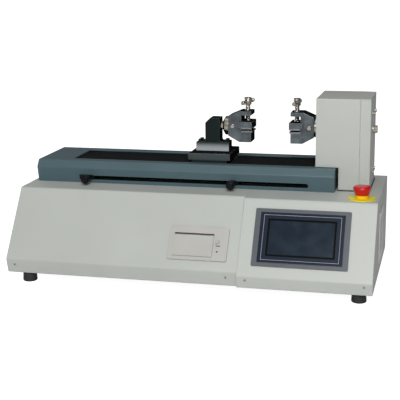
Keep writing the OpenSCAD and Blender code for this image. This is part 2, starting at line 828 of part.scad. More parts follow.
// Power inlet with three contacts, and a window for the rocker switch beside it
module power_inlet() {
    recess_x0 = inlet_x - inlet_width / 2 + 2;
    recess_x1 = recess_x0 + 24;
    rocker_x0 = recess_x1 + 3;
    rocker_x1 = inlet_x + inlet_width / 2 - 2;
    depth = 34;
    color(black) {
        difference() {
            union() {
                block(inlet_x - inlet_width / 2, inlet_x + inlet_width / 2, inlet_face_y - depth,
                    inlet_face_y, inlet_z - inlet_height / 2, inlet_z + inlet_height / 2);
                block(inlet_x - inlet_width / 2 - 4, inlet_x + inlet_width / 2 + 4,
                    rear_wall_y - 2.5, rear_wall_y, inlet_z - inlet_height / 2 - 4,
                    inlet_z + inlet_height / 2 + 4);
            }
            block(recess_x0, recess_x1, inlet_face_y - 16, inlet_face_y + 1, inlet_z - 10, inlet_z + 10);
            block(rocker_x0, rocker_x1, inlet_face_y - 14, inlet_face_y + 1, inlet_z - 10, inlet_z + 10);
            rod_x(rocker_x0 - 1.5, rocker_x1 + 1.5, inlet_face_y - 5, inlet_z, 3 + 2 * running_gap);
        }
        for (i = [-1:1])
            block(recess_x0 + 12 + 6 * i - 1, recess_x0 + 12 + 6 * i + 1, inlet_face_y - 16.5,
                inlet_face_y - 3, inlet_z - 3 - (i == 0 ? 3 : 0), inlet_z + 1 - (i == 0 ? 3 : 0));
    }
}

// Rocker on its pivot, tipped to the off side
module switch_rocker() {
    x1 = inlet_x + inlet_width / 2 - 2 - slide_gap;
    x0 = inlet_x - inlet_width / 2 + 2 + 24 + 3 + slide_gap;
    color(black) {
        rod_x(x0 - 1, x1 + 1, inlet_face_y - 5, inlet_z, 3);
        translate([0, inlet_face_y - 5, inlet_z]) along_x(x0, x1) rotate(-7)
            polygon([[-2.5, -5], [-2.5, 5], [3.5, 8.8], [4.6, 8.8], [3.4, 0], [4.6, -8.8], [3.5, -8.8]]);
    }
}

// Bezel with a stepped frame round the glass, and the rear case behind the slope
module display_bezel() {
    y1 = -panel_drop;
    y0 = y1 - panel_height;
    gx = (panel_x0 + panel_x1) / 2;
    gy = (y0 + y1) / 2;
    color(dark_grey) on_console_slope() difference() {
        union() {
            linear_extrude(panel_t - 1) round_rect(panel_x0, panel_x1, y0, y1, 3);
            linear_extrude(panel_t) round_rect(panel_x0 + 10, panel_x1 - 10, y0 + 8, y1 - 8, 3);
            translate([0, 0, -panel_case_depth]) linear_extrude(panel_case_depth + 1)
                round_rect(panel_x0 + 16, panel_x1 - 16, y0 + 14, y1 - 14, 3);
        }
        block(gx - glass_width / 2 - fit_gap, gx + glass_width / 2 + fit_gap,
            gy - glass_height / 2 - fit_gap, gy + glass_height / 2 + fit_gap, panel_t - 2.5, panel_t + 1);
    }
}

module display_glass() {
    gx = (panel_x0 + panel_x1) / 2;
    gy = -panel_drop - panel_height / 2;
    color([0.12, 0.16, 0.2]) on_console_slope() block(gx - glass_width / 2, gx + glass_width / 2,
        gy - glass_height / 2, gy + glass_height / 2, panel_t - 2.5, panel_t - 0.6);
}

// Printer frame with the paper bay behind it, the hinge holes and the feed button's guide
module printer_frame() {
    y1 = -printer_drop;
    y0 = y1 - printer_height;
    color(beige) on_main_slope() difference() {
        union() {
            linear_extrude(printer_t) round_rect(printer_x0, printer_x1, y0, y1, 4);
            translate([0, 0, -bay_depth]) linear_extrude(bay_depth + 1)
                round_rect(door_x0 - sheet, door_x0 + door_width + sheet, door_y0 - sheet, door_y1 + sheet, 2);
        }
        block(door_x0, door_x0 + door_width, door_y0, door_y1, -bay_depth + sheet, printer_t + 1);
        rod_x(door_x0 - 3, door_x0 + door_width + 3, hinge_y, hinge_z, hinge_pin_d + 2 * running_gap);
        translate([feed_button_x - button_width / 2 - slide_gap, feed_button_y - button_height / 2 - slide_gap, 1.5])
            cube([button_width + 2 * slide_gap, button_height + 2 * slide_gap, printer_t]);
        translate([feed_button_x, feed_button_y, -1]) cylinder(h = 4, d = 5 + 2 * running_gap);
    }
}

// Door that swings out about its lower edge, with a lip for the paper slot
module printer_door() {
    x0 = door_x0 + slide_gap;
    x1 = door_x0 + door_width - slide_gap;
    slot_end = 2;
    slot_slope = 35;
    color(beige) on_main_slope() {
        difference() {
            union() {
                block(x0, x1, hinge_y, door_y1 - slot_end / 2, hinge_z - door_t / 2, hinge_z + door_t / 2);
                rod_x(x0, x1, hinge_y, hinge_z, door_t - 2 * slide_gap);
            }
            // Sloping upper edge of the paper slot
            translate([x0 - 1, door_y1 - slot_end + tan(slot_slope), hinge_z - door_t / 2 - 1])
                rotate([slot_slope, 0, 0]) cube([x1 - x0 + 2, 9, 12]);
        }
        rod_x(x0 - 2, x1 + 2, hinge_y, hinge_z, hinge_pin_d);
    }
}

module feed_button() {
    color(dark_grey) on_main_slope() {
        translate([feed_button_x - button_width / 2, feed_button_y - button_height / 2, 3])
            cube([button_width, button_height, printer_t - 1.5]);
        translate([feed_button_x, feed_button_y, -6]) cylinder(h = 10, d = 5);
    }
}

// Roll lying in the lower inner corner of the paper bay
module paper_roll() {
    color([0.93, 0.93, 0.9]) on_main_slope() difference() {
        rod_x(door_x0 + 6, door_x0 + 6 + roll_width, door_y0 + roll_d / 2 + slide_gap,
            -bay_depth + sheet + roll_d / 2 + slide_gap, roll_d);
        rod_x(door_x0 + 5, door_x0 + 7 + roll_width, door_y0 + roll_d / 2 + slide_gap,
            -bay_depth + sheet + roll_d / 2 + slide_gap, roll_core_d);
    }
}

module stop_disc() {
    color([0.85, 0.78, 0.12]) translate([button_x, button_y, deck]) difference() {
        cylinder(h = disc_t, d = disc_d);
        translate([0, 0, -1]) cylinder(h = disc_t + 2, d = barrel_d + 2 * fit_gap);
    }
}

// Collar on the button's barrel, which passes through the deck
module stop_collar() {
    barrel_end = deck - 34;
    bore_r = stem_d / 2 + running_gap;
    color([0.93, 0.53, 0.12]) translate([button_x, button_y, 0]) rotate_extrude() polygon([
        [bore_r, barrel_end], [barrel_d / 2, barrel_end], [barrel_d / 2, collar_z],
        [button_collar_d / 2, collar_z], [button_collar_d / 2, collar_top], [bore_r, collar_top]]);
}

module stop_stem() {
    color(dark_grey) rod_z(button_x, button_y, deck - 30, head_socket_top - slide_gap, stem_d);
}

// Mushroom head: a skirt that sinks round the collar, a flaring side and a crowned top
module stop_head() {
    skirt_r = button_collar_d / 2 + slide_gap;
    socket_r = stem_d / 2 + running_gap;
    r = mushroom_d / 2;
    top = deck + mushroom_top;
    crown = 7;
    edge_r = 4;
    color([0.78, 0.1, 0.07]) translate([button_x, button_y, 0]) rotate_extrude() polygon(concat(
        [[0, head_socket_top], [socket_r, head_socket_top], [socket_r, head_cavity_top],
            [skirt_r, head_cavity_top], [skirt_r, head_base], [skirt_r + 1.2, head_base]],
        [for (i = [0:6]) [r - edge_r + edge_r * cos(15 * i), top - crown + edge_r * 1.4 * sin(15 * i)]],
        [[r - 11, top - 0.5], [0, top]]));
}

module rail_housing() {
    color(rail_blue) difference() {
        along_x(rail_x0, rail_x1) polygon(rail_outline(deck));
        along_x(rail_x0 + rail_wall, rail_x1 - rail_wall)
            polygon(inset_outline(rail_outline(deck - rail_wall - 1), rail_wall));
        block(opening_x0, opening_x1, axis_y - opening_width / 2, axis_y + opening_width / 2,
            rail_top - rail_wall - 1, rail_top + 1);
        // Slot for the travel stops
        on_rail_face(0) translate([0, 0, -rail_wall - 2]) linear_extrude(rail_wall + 4) {
            translate([stop_slot_x0 + stop_slot_height / 2, 0]) circle(d = stop_slot_height);
            translate([stop_slot_x1 - stop_slot_height / 2, 0]) circle(d = stop_slot_height);
            translate([stop_slot_x0 + stop_slot_height / 2, -stop_slot_height / 2])
                square([stop_slot_x1 - stop_slot_x0 - stop_slot_height, stop_slot_height]);
        }
    }
}

// Bed with a trough for the screw and its nut
module rail_bed() {
    color(steel) difference() {
        block(drive_plate_x1, tail_block_x0, axis_y - bed_width / 2, axis_y + bed_width / 2, deck, deck + bed_t);
        block(drive_plate_x1 - 1, tail_block_x0 + 1, axis_y - groove_width / 2, axis_y + groove_width / 2,
            groove_floor, deck + bed_t + 1);
    }
}

module guide_rails() {
    color(steel) for (side = [-1, 1])
        along_x(drive_plate_x1 + 4, tail_block_x0 - 4) translate([axis_y + side * guide_spacing / 2, 0])
            polygon([[-guide_width / 2, deck + bed_t], [guide_width / 2, deck + bed_t],
                [guide_width / 2, deck + bed_t + 3], [guide_width / 2 - 1.2, deck + bed_t + 4],
                [guide_width / 2 - 1.2, guide_top - 3], [guide_width / 2, guide_top - 2],
                [guide_width / 2, guide_top], [-guide_width / 2, guide_top],
                [-guide_width / 2, guide_top - 2], [-guide_width / 2 + 1.2, guide_top - 3],
                [-guide_width / 2 + 1.2, deck + bed_t + 4], [-guide_width / 2, deck + bed_t + 3]]);
}

// Plate that holds the motor under the deck and the screw above it, and the block at the far end
module screw_supports() {
    color(dark_grey) {
        difference() {
            block(drive_plate_x0, drive_plate_x1, axis_y - drive_plate_width / 2,
                axis_y + drive_plate_width / 2, motor_z - motor_side / 2, screw_z + 16);
            rod_x(drive_plate_x0 - 1, drive_plate_x1 + 1, axis_y, screw_z, journal_d + 2 * running_gap);
            rod_x(drive_plate_x0 - 1, drive_plate_x1 + 1, axis_y, motor_z, motor_shaft_d + 1);
        }
        difference() {
            block(tail_block_x0, tail_block_x1, axis_y - 30, axis_y + 30, deck, screw_z + 16);
            rod_x(tail_block_x0 - 1, tail_block_x1 + 1, axis_y, screw_z, tail_d + 2 * running_gap);
        }
    }
}

module ball_screw() {
    color(steel) {
        rod_x(shaft_end_x, drive_plate_x1 + 1, axis_y, screw_z, journal_d);
        rod_x(drive_plate_x1 + slide_gap, tail_block_x0 - slide_gap, axis_y, screw_z, screw_d);
        rod_x(tail_block_x0 - 1, tail_block_x1 - 2, axis_y, screw_z, tail_d);
    }
}

// Flanged belt pulley between the belt's two sides
module belt_pulley(r, bore_d, z) {
    difference() {
        union() {
            rod_x(belt_x0 - pulley_flange, belt_x1 + pulley_flange, axis_y, z, 2 * r);
            rod_x(belt_x0 - pulley_flange, belt_x0 - slide_gap, axis_y, z, 2 * (r + belt_t + pulley_rim));
            rod_x(belt_x1 + slide_gap, belt_x1 + pulley_flange, axis_y, z, 2 * (r + belt_t + pulley_rim));
        }
        rod_x(belt_x0 - 2, belt_x1 + 2, axis_y, z, bore_d);
    }
}

module screw_pulley() {
    color(steel) belt_pulley(screw_pulley_r, journal_d + 2 * running_gap, screw_z);
}

module motor_pulley() {
    color(steel) {
        belt_pulley(motor_pulley_r, motor_shaft_d - 1, motor_z);
        rod_x(shaft_end_x, drive_plate_x1 + 18, axis_y, motor_z, motor_shaft_d);
    }
}

// Outline round both pulleys, as Y and Z: an arc over each, joined by the straight runs
module belt_outline(grow) {
    r1 = screw_pulley_r + grow;
    r2 = motor_pulley_r + grow;
    lean = asin((r1 - r2) / belt_centres);
    steps = 24;
    polygon(concat(
        [for (i = [0:steps]) let (a = -lean + (180 + 2 * lean) * i / steps)
            [axis_y + r1 * cos(a), screw_z + r1 * sin(a)]],
        [for (i = [0:steps]) let (a = 180 + lean + (180 - 2 * lean) * i / steps)
            [axis_y + r2 * cos(a), motor_z + r2 * sin(a)]]));
}

module drive_belt() {
    color(black) along_x(belt_x0, belt_x1) difference() {
        belt_outline(slide_gap + belt_t);
        belt_outline(slide_gap);
    }
}

module drive_motor() {
    color(black) difference() {
        union() {
            block(drive_plate_x1, drive_plate_x1 + motor_length, axis_y - motor_side / 2,
                axis_y + motor_side / 2, motor_z - motor_side / 2, motor_z + motor_side / 2);
            rod_x(drive_plate_x1 + motor_length - eps, drive_plate_x1 + motor_length + 6, axis_y, motor_z,
                motor_side - 16);
        }
        rod_x(drive_plate_x1 - 1, drive_plate_x1 + 18.5, axis_y, motor_z, motor_shaft_d + 2 * running_gap);
        // Recessed corners along the motor's body
        for (sy = [-1, 1])
            for (sz = [-1, 1])
                translate([drive_plate_x1 + 8, axis_y + sy * motor_side / 2, motor_z + sz * motor_side / 2])
                    rotate([45, 0, 0]) translate([0, -5, -5]) cube([motor_length - 16, 10, 10]);
    }
}

// Top plate, riser through the rail's opening, foot on the guide blocks and finger for the limit switches
module carriage_plate() {
    color(steel) difference() {
        union() {
            along_y(axis_y - plate_depth / 2, axis_y + plate_depth / 2) polygon([
                [carriage_x - plate_length / 2, plate_z0], [carriage_x + plate_length / 2, plate_z0],
                [carriage_x + plate_length / 2, plate_z1 - 1.5], [carriage_x + plate_length / 2 - 1.5, plate_z1],
                [carriage_x - plate_length / 2 + 1.5, plate_z1], [carriage_x - plate_length / 2, plate_z1 - 1.5]]);
            block(carriage_x - riser_length / 2, carriage_x + riser_length / 2, axis_y - riser_depth / 2,
                axis_y + riser_depth / 2, saddle_top - eps, plate_z0 + eps);
            block(carriage_x - saddle_length / 2, carriage_x + saddle_length / 2, axis_y - riser_depth / 2,
                axis_y + riser_depth / 2, block_top, saddle_top);
            block(carriage_x - 6, carriage_x + 6, rail_y0 + 2, axis_y - riser_depth / 2 + eps, trip_z, saddle_top);
        }
    }
}

module guide_blocks() {
    color(dark_grey) for (end = [-1, 1])
        for (side = [-1, 1])
            translate([carriage_x + end * (block_gap + block_length) / 2, axis_y + side * guide_spacing / 2, 0])
                difference() {
                    block(-block_length / 2, block_length / 2, -block_width / 2, block_width / 2,
                        deck + bed_t + 3.5, block_top);
                    block(-block_length / 2 - 1, block_length / 2 + 1, -guide_width / 2 - slide_gap,
                        guide_width / 2 + slide_gap, deck, guide_top + slide_gap);
                }
}

module ball_nut() {
    color(steel) difference() {
        block(carriage_x - nut_length / 2, carriage_x + nut_length / 2, axis_y - nut_width / 2,
            axis_y + nut_width / 2, groove_floor + 1.5, block_top);
        rod_x(carriage_x - nut_length / 2 - 1, carriage_x + nut_length / 2 + 1, axis_y, screw_z,
            screw_d + 2 * running_gap);
    }
}

// Inverted T casting: foot on the carriage and post for the grip
module grip_bracket() {
    foot_x0 = carriage_x - bracket_foot_length / 2;
    foot_x1 = carriage_x + bracket_foot_length / 2;
    foot_z = plate_z1 + bracket_foot_height;
    x0 = carriage_x - post_length / 2;
    color(gunmetal) difference() {
        along_y(axis_y - bracket_depth / 2, axis_y + bracket_depth / 2) polygon(concat(
            [[foot_x0, plate_z1], [foot_x1, plate_z1], [foot_x1, foot_z]],
            round_corner([foot_x1, foot_z], [post_x1, foot_z], [post_x1, post_top], bracket_fillet),
            [[post_x1, post_top], [x0 + post_chamfer, post_top], [x0, post_top - post_chamfer]],
            round_corner([x0, post_top], [x0, foot_z], [foot_x0, foot_z], bracket_fillet),
            round_corner([x0, foot_z], [foot_x0, foot_z], [foot_x0, plate_z1], bracket_fillet)));
        rod_x(post_x1 - 24, post_x1 + 1, axis_y, axis_z, stud_d + 2 * running_gap);
    }
}

// Folded skin between two hems, as X and Z
module bellows(x0, x1) {
    folds = max(4, round((x1 - x0) / pleat_pitch));
    step = (x1 - x0) / folds;
    low = bellows_top - pleat_depth;
    zig = [for (i = [0:folds - 1]) each [[x0 + i * step, low], [x0 + (i + 0.5) * step, bellows_top]]];
    zag = concat(zig, [[x1, low]]);
    n = len(zag);
    along_y(axis_y - bellows_width / 2, axis_y + bellows_width / 2)
        polygon(concat([for (p = zag) p - [0, bellows_skin * 2]], [for (i = [0:n - 1]) zag[n - 1 - i]]));
}

module bellows_left() {
    x0 = opening_x0 + bellows_flange_t;
    x1 = carriage_x - riser_length / 2 - slide_gap - bellows_flange_t;
    y0 = axis_y - bellows_width / 2;
    y1 = axis_y + bellows_width / 2;
    color(black) {
        bellows(x0, x1);
        block(opening_x0 - bellows_hem, x0 + eps, y0, y1, bellows_top - pleat_depth - 4, rail_top - rail_wall - 0.1);
        block(x1 - eps, x1 + bellows_flange_t, y0, y1, bellows_top - pleat_depth - 2, bellows_top);
    }
}

module bellows_right() {
    x0 = carriage_x + riser_length / 2 + slide_gap + bellows_flange_t;
    x1 = opening_x1 - bellows_flange_t;
    y0 = axis_y - bellows_width / 2;
    y1 = axis_y + bellows_width / 2;
    color(black) {
        bellows(x0, x1);
        block(x1 - eps, opening_x1 + bellows_hem, y0, y1, bellows_top - pleat_depth - 4, rail_top - rail_wall - 0.1);
        block(x0 - bellows_flange_t, x0 + eps, y0, y1, bellows_top - pleat_depth - 2, bellows_top);
    }
}

// Stud in the post with its lock nut, and the shank in the grip's socket
module left_stud() {
    color(steel) {
        rod_x(post_x1 - 22, collar_x0 + 1, axis_y, axis_z, stud_d);
        rod_x(collar_x0, left_mouth_x + shank_end_x, axis_y, axis_z, shank_d);
        translate([post_x1, axis_y, axis_z]) rotate([0, 90, 0])
            cylinder(h = lock_nut_t, d = lock_nut_flats / cos(30), $fn = 6);
    }
}

// The pin passes through the shank, so the shank has its hole
module pin_hole() {
    rod_y(pin_x, -grip_depth / 2 - 1, grip_depth / 2 + 1, pin_rise, pin_d + 2 * running_gap);
}

module left_stud_drilled() {
    difference() {
        left_stud();
        at_left_grip() pin_hole();
    }
}

// Ring nut with a bevelled back
module left_collar() {
    bore_r = shank_d / 2 + running_gap;
    color(steel) translate([0, axis_y, axis_z]) rotate([0, 90, 0]) rotate_extrude() polygon([
        [bore_r, collar_x0], [collar_small_d / 2, collar_x0], [collar_d / 2, collar_bevel_x],
        [collar_d / 2, collar_x1 - 1], [collar_d / 2 - 1, collar_x1], [bore_r, collar_x1]]);
}

module grip_body() {
    color(gunmetal) difference() {
        along_y(-grip_depth / 2, grip_depth / 2) polygon(grip_outline());
        rod_z(screw_x, 0, window_top - 1, arm_top + 1, grip_screw_d + 2 * running_gap);
        rod_x(-grip_length - 1, -grip_length + socket_depth, 0, 0, shank_d + 2 * running_gap);
        pin_hole();
    }
}

module grip_lower_pad() {
    color(steel) block(-throat + slide_gap, jaw_front_x, -grip_depth / 2, grip_depth / 2, lower_seat, lower_face);
}

// Moving jaw: a block in the throat with a cheek on each side of the body
module grip_jaw() {
    color(gunmetal) difference() {
        union() {
            block(jaw_back_x, jaw_front_x, -jaw_width / 2, jaw_width / 2, upper_seat, jaw_top);
            for (side = [-1, 1])
                block(cheek_back_x, jaw_back_x + eps,
                    side > 0 ? grip_depth / 2 + slide_gap : -jaw_width / 2,
                    side > 0 ? jaw_width / 2 : -grip_depth / 2 - slide_gap, upper_seat, jaw_top);
        }
        rod_z(screw_x, 0, jaw_top - tip_depth - slide_gap, jaw_top + 1, screw_tip_d + 2 * running_gap);
    }
}

module grip_upper_pad() {
    color(steel) block(jaw_back_x, jaw_front_x, -jaw_width / 2, jaw_width / 2, upper_face, upper_seat);
}

// Screw through the arm, with a drilled head
module grip_screw(turn) {
    edge = 1;
    color(steel) translate([screw_x, 0, 0]) difference() {
        rotate_extrude() polygon([
            [0, jaw_top - tip_depth], [screw_tip_d / 2, jaw_top - tip_depth],
            [screw_tip_d / 2, jaw_top + slide_gap], [grip_screw_d / 2, jaw_top + slide_gap],
            [grip_screw_d / 2, head_z], [screw_head_d / 2 - edge, head_z], [screw_head_d / 2, head_z + edge],
            [screw_head_d / 2, head_z + screw_head_height - edge],
            [screw_head_d / 2 - edge, head_z + screw_head_height], [0, head_z + screw_head_height]]);
        translate([0, 0, bar_z]) rotate([0, 0, turn])
            rod_x(-screw_head_d, screw_head_d, 0, 0, bar_d + 2 * running_gap);
    }
}

module tommy_bar(turn) {
    half = bar_length / 2;
    color(steel) translate([screw_x, 0, bar_z]) rotate([0, 0, turn]) rotate([0, 90, 0]) rotate_extrude()
        polygon([[0, -half], [bar_cap_d / 2 - 1, -half], [bar_cap_d / 2, -half + 1],
            [bar_cap_d / 2, -half + bar_cap_length - 1], [bar_d / 2, -half + bar_cap_length],
            [bar_d / 2, half - bar_cap_length], [bar_cap_d / 2, half - bar_cap_length + 1],
            [bar_cap_d / 2, half - 1], [bar_cap_d / 2 - 1, half], [0, half]]);
}

module grip_pin() {
    y0 = -grip_depth / 2 - slide_gap;
    color(steel) translate([pin_x, 0, pin_rise]) rotate([-90, 0, 0]) rotate_extrude() polygon([
        [0, y0 - pin_head_t], [pin_head_d / 2 - 1, y0 - pin_head_t], [pin_head_d / 2, y0 - pin_head_t + 1],
        [pin_head_d / 2, y0], [pin_d / 2, y0], [pin_d / 2, grip_depth / 2 + 1],
        [pin_d / 2 - 1, grip_depth / 2 + 2], [0, grip_depth / 2 + 2]]);
}

// Shank of the right grip with its ring, up to the load cell
module load_shaft() {
    ring_x1 = min(right_back_x + collar_rim, column_x0 - ring_gap);
    color(steel) difference() {
        union() {
            translate([0, axis_y, axis_z]) rotate([0, 90, 0]) rotate_extrude() polygon([
                [0, right_mouth_x - shank_end_x], [shank_d / 2, right_mouth_x - shank_end_x],
                [shank_d / 2, right_back_x], [collar_d / 2 - 1, right_back_x], [collar_d / 2, right_back_x + 1],
                [collar_d / 2, ring_x1 - 3], [collar_d / 2 - 4, ring_x1], [shank_d / 2, ring_x1],
                [shank_d / 2, cell_x0], [0, cell_x0]]);
        }
        at_right_grip() pin_hole();
    }
}

// Plan of the column's right part, as X and Y: its flanges slope back towards the side
function side_plan(x0, set_back) = [
    [x0, column_y0 + set_back], [column_x1, column_y0 + side_bevel],
    [column_x1, column_y1 - side_bevel], [x0, column_y1 - set_back]];

// Column cover: front, rear, top and left walls in one folded shell, open to the side cover
module column_cover() {
    color(pale_grey) difference() {
        along_y(column_y0, column_y1) polygon(column_outline(column_foot_top));
        along_y(column_y0 + sheet, column_y1 - sheet)
            polygon(inset_outline(column_outline(column_foot_top - sheet - 1), sheet));
        // Room for the side cover
        block(flange_x0, column_x1 + 1, column_y0 - 1, column_y1 + 1, column_foot_top - 1, column_top - sheet);
        // The top's right corners follow the side cover's flanges
        translate([0, 0, column_top - sheet - 1]) linear_extrude(sheet + 2) difference() {
            translate([flange_x0, column_y0 - 1]) square([side_flange + 1, column_depth + 2]);
            polygon(side_plan(flange_x0, 0));
        }
        rod_x(column_x0 - 1, column_x0 + sheet + 1, axis_y, axis_z, wall_hole_d);
    }
}

// Side cover: a channel that closes the column at the right, with a groove down its middle
module column_side_cover() {
    top = column_top - sheet - fit_gap;
    set_back = 0.6;
    plan = side_plan(flange_x0 + fit_gap, set_back);
    groove_y = (column_y0 + column_y1) / 2 + 3;
    color(pale_grey) difference() {
        translate([0, 0, column_foot_top]) linear_extrude(top - column_foot_top) polygon(plan);
        translate([0, 0, column_foot_top - 1]) linear_extrude(top - column_foot_top + 1 - sheet) difference() {
            polygon(inset_outline(concat([[flange_x0 - 4 * sheet, plan[0][1] - 0.5]],
                [for (i = [1:2]) plan[i]], [[flange_x0 - 4 * sheet, plan[3][1] + 0.5]]), sheet));
        }
        block(column_x1 - 0.8, column_x1 + 1, groove_y - 2, groove_y + 2, column_foot_top + 10, axis_z + 36);
        rod_x(column_x1 - sheet - 1, column_x1 + 1, axis_y, axis_z, 10 + 2 * fit_gap);
    }
}

// S-shaped load cell on its stud
module load_cell() {
    slot = 5;
    wall = 11;
    color(steel) {
        difference() {
            block(cell_x0, cell_x1, axis_y - cell_depth / 2, axis_y + cell_depth / 2,
                axis_z - cell_height / 2, axis_z + cell_height / 2);
            for (s = [-1, 1]) {
                block(s > 0 ? cell_x0 + wall : cell_x1 - wall - slot, s > 0 ? cell_x0 + wall + slot : cell_x1 - wall,
                    axis_y - cell_depth, axis_y + cell_depth,
                    s > 0 ? axis_z - cell_height / 2 + wall : axis_z - cell_height / 2 - 1,
                    s > 0 ? axis_z + cell_height / 2 + 1 : axis_z + cell_height / 2 - wall);
            }
        }
        rod_x(cell_x1 - eps, frame_x0, axis_y, axis_z, shank_d);
    }
}

// Welded frame: dark foot plate under the cover, upright wall and two gussets
module load_cell_frame() {
    lip = 2;
    half = 40;
    top = axis_z + 40;
    color(black) difference() {
        union() {
            block(column_step_x - lip, column_x1 + lip, column_y0 - lip, column_y1 + lip, deck, column_foot_top);
            block(frame_x0, frame_x1, axis_y - half, axis_y + half, deck + eps, top);
            for (side = [-1, 1])
                along_y(axis_y + side * 25 - 4, axis_y + side * 25 + 4) polygon([
                    [frame_x1 - eps, column_foot_top - eps], [column_x1 - 6, column_foot_top - eps],
                    [frame_x1 - eps, column_foot_top + 100]]);
        }
        rod_x(frame_x1 - 9, frame_x1 + 1, axis_y, axis_z, 10 + 2 * running_gap);
        rod_z(column_x1 - 22, column_y1 - 30, deck - 1, column_foot_top + 1, 20);
    }
}

// Travel stop: clamp plate in front of the slot, neck in it, block and limit switch behind it
module travel_stop(x, plate_x0, plate_x1) {
    neck_half = stop_slot_height / 2 - slide_gap;
    color(black) difference() {
        union() {
            on_rail_face(x) {
                translate([plate_x0, -stop_plate_height / 2 + 1, slide_gap])
                    cube([plate_x1 - plate_x0, stop_plate_height, 2]);
                translate([-8, -neck_half, -rail_wall - 2]) cube([16, 2 * neck_half, rail_wall + 3]);
                translate([-12, -7.5, -rail_wall - slide_gap - 11]) cube([24, 15, 11]);
            }
            // Switch with its roller under the carriage's finger
            block(x - 10, x + 10, rail_y0 + rail_wall + 1, rail_y0 + 16, stop_slot_z, trip_z - 3);
            rod_y(x, rail_y0 + 4, rail_y0 + 12, trip_z - 3, 4);
        }
        rod_y(x, stop_face_y - 6, stop_face_y + rail_wall + 20, stop_slot_z, clamp_screw_d + 2 * running_gap);
    }
}

module left_stop() {
    travel_stop(rail_x0 + left_stop_x, -left_stop_plate, stop_plate_inner);
}

module right_stop() {
    travel_stop(rail_x0 + right_stop_x, -stop_plate_inner, stop_plate_inner);
}

// Long knob with a fluted grip on its clamp screw, which lies level in the slanting slot
module stop_knob(x) {
    z0 = (2 + 2 * slide_gap) / cos(rail_face_tilt) + knob_neck_d / 2 * tan(rail_face_tilt);
    z1 = z0 + knob_neck;
    z2 = z1 + knob_length;
    color(black) translate([x, stop_face_y, stop_slot_z]) rotate([90, 0, 0]) difference() {
        union() {
            rotate_extrude() polygon([
                [0, z0], [knob_neck_d / 2, z0], [knob_neck_d / 2 - 1, z1 - 6], [knob_d / 2 - 1, z1],
                [knob_d / 2, z1 + 2], [knob_d / 2, z2 - 2.5], [knob_d / 2 - 2.5, z2], [0, z2]]);
            translate([0, 0, -rail_wall - 10]) cylinder(h = rail_wall + 11 + z0, d = clamp_screw_d);
        }
        for (i = [0:knob_flutes - 1])
            rotate([0, 0, 360 * (i + 0.5) / knob_flutes]) translate([knob_d / 2 + 0.7, 0, z1 - 1])
                cylinder(h = knob_length + 2, d = 3, $fn = 16);
        translate([0, 0, z2 - 1.2]) cylinder(h = 3, d = 9);
    }
}

module left_stop_knob() {
    stop_knob(rail_x0 + left_stop_x);
}

module right_stop_knob() {
    stop_knob(rail_x0 + right_stop_x);
}

// Power supply with a slotted lid, and control board with its parts, on the base plate
module electronics() {
    floor_z = underside + base_t;
    x0 = split_x + electronics_inset;
    supply_y1 = rear_wall_y - 2 * bay_rim + 8;
    supply_y0 = supply_y1 - supply_depth;
    board_y1 = supply_y0 - 15;
    board_y0 = board_y1 - board_depth;
    board_z = floor_z + 10;
    board_t = 1.6;
    board_top = board_z + board_t - eps;
    post_inset = 6;
    slot_pitch = supply_length / 11;
    color([0.45, 0.5, 0.47]) {
        difference() {
            block(x0, x0 + supply_length, supply_y0, supply_y1, floor_z, floor_z + supply_height);
            for (i = [1:9])
                block(x0 + slot_pitch * i, x0 + slot_pitch * (i + 0.45), supply_y0 + supply_depth * 0.15,
                    supply_y1 - supply_depth * 0.15, floor_z + supply_height - 2, floor_z + supply_height + 1);
        }
        block(x0, x0 + board_length, board_y0, board_y1, board_z, board_z + board_t);
        for (x = [x0 + post_inset, x0 + board_length - post_inset])
            for (y = [board_y0 + post_inset, board_y1 - post_inset])
                rod_z(x, y, floor_z, board_z + eps, 6);
        block(x0 + board_length * 0.12, x0 + board_length * 0.44, board_y0 + board_depth * 0.2,
            board_y0 + board_depth * 0.5, board_top, board_top + 12);
        block(x0 + board_length * 0.56, x0 + board_length * 0.69, board_y0 + board_depth * 0.3,
            board_y0 + board_depth * 0.5, board_top, board_top + 4);
        for (i = [0:3])
            rod_z(x0 + board_length * (0.56 + 0.1 * i), board_y1 - board_depth * 0.2, board_top,
                board_top + 18, 12);
    }
}

// Pan-head screw on a skirt: x along the skirt, up is the distance above the underside
module skirt_screw(x, skirt_y, tilt, up) {
    translate([x, skirt_y, underside]) rotate([tilt, 0, 0]) translate([0, 0, up]) rotate([90, 0, 0])
        cylinder(h = 0.9, d = 6);
}

// Load bolt through the side cover, cover screws and skirt screws
module case_screws() {
    color(steel) {
        rod_x(frame_x1 - 8, column_x1 + 3, axis_y, axis_z, 10);
        rod_x(column_x1, column_x1 + 2, axis_y, axis_z, 20);
        translate([column_x1 + 2 - eps, axis_y, axis_z]) rotate([0, 90, 0])
            cylinder(h = 9, d = 16 / cos(30), $fn = 6);
        for (z = [axis_z + 36, column_foot_top + 30])
            for (y = [axis_y + 10, column_y1 - 24])
                rod_x(column_x1, column_x1 + 3.5, y, z, 8);
        foot_places() {
            rod_z(0, 0, foot_counterbore - 4.5, foot_counterbore, 12);
            rod_z(0, 0, foot_counterbore - eps, underside + base_t + 6, 6);
        }
        for (x = [split_x + 20, right_edge - 20])
            skirt_screw(x, console_skirt_y, console_skirt_tilt, console_crease_height * 0.7);
        for (x = [left_edge + 20, split_x - 26])
            skirt_screw(x, main_skirt_y, main_skirt_tilt, main_crease_height * 0.62);
    }
}

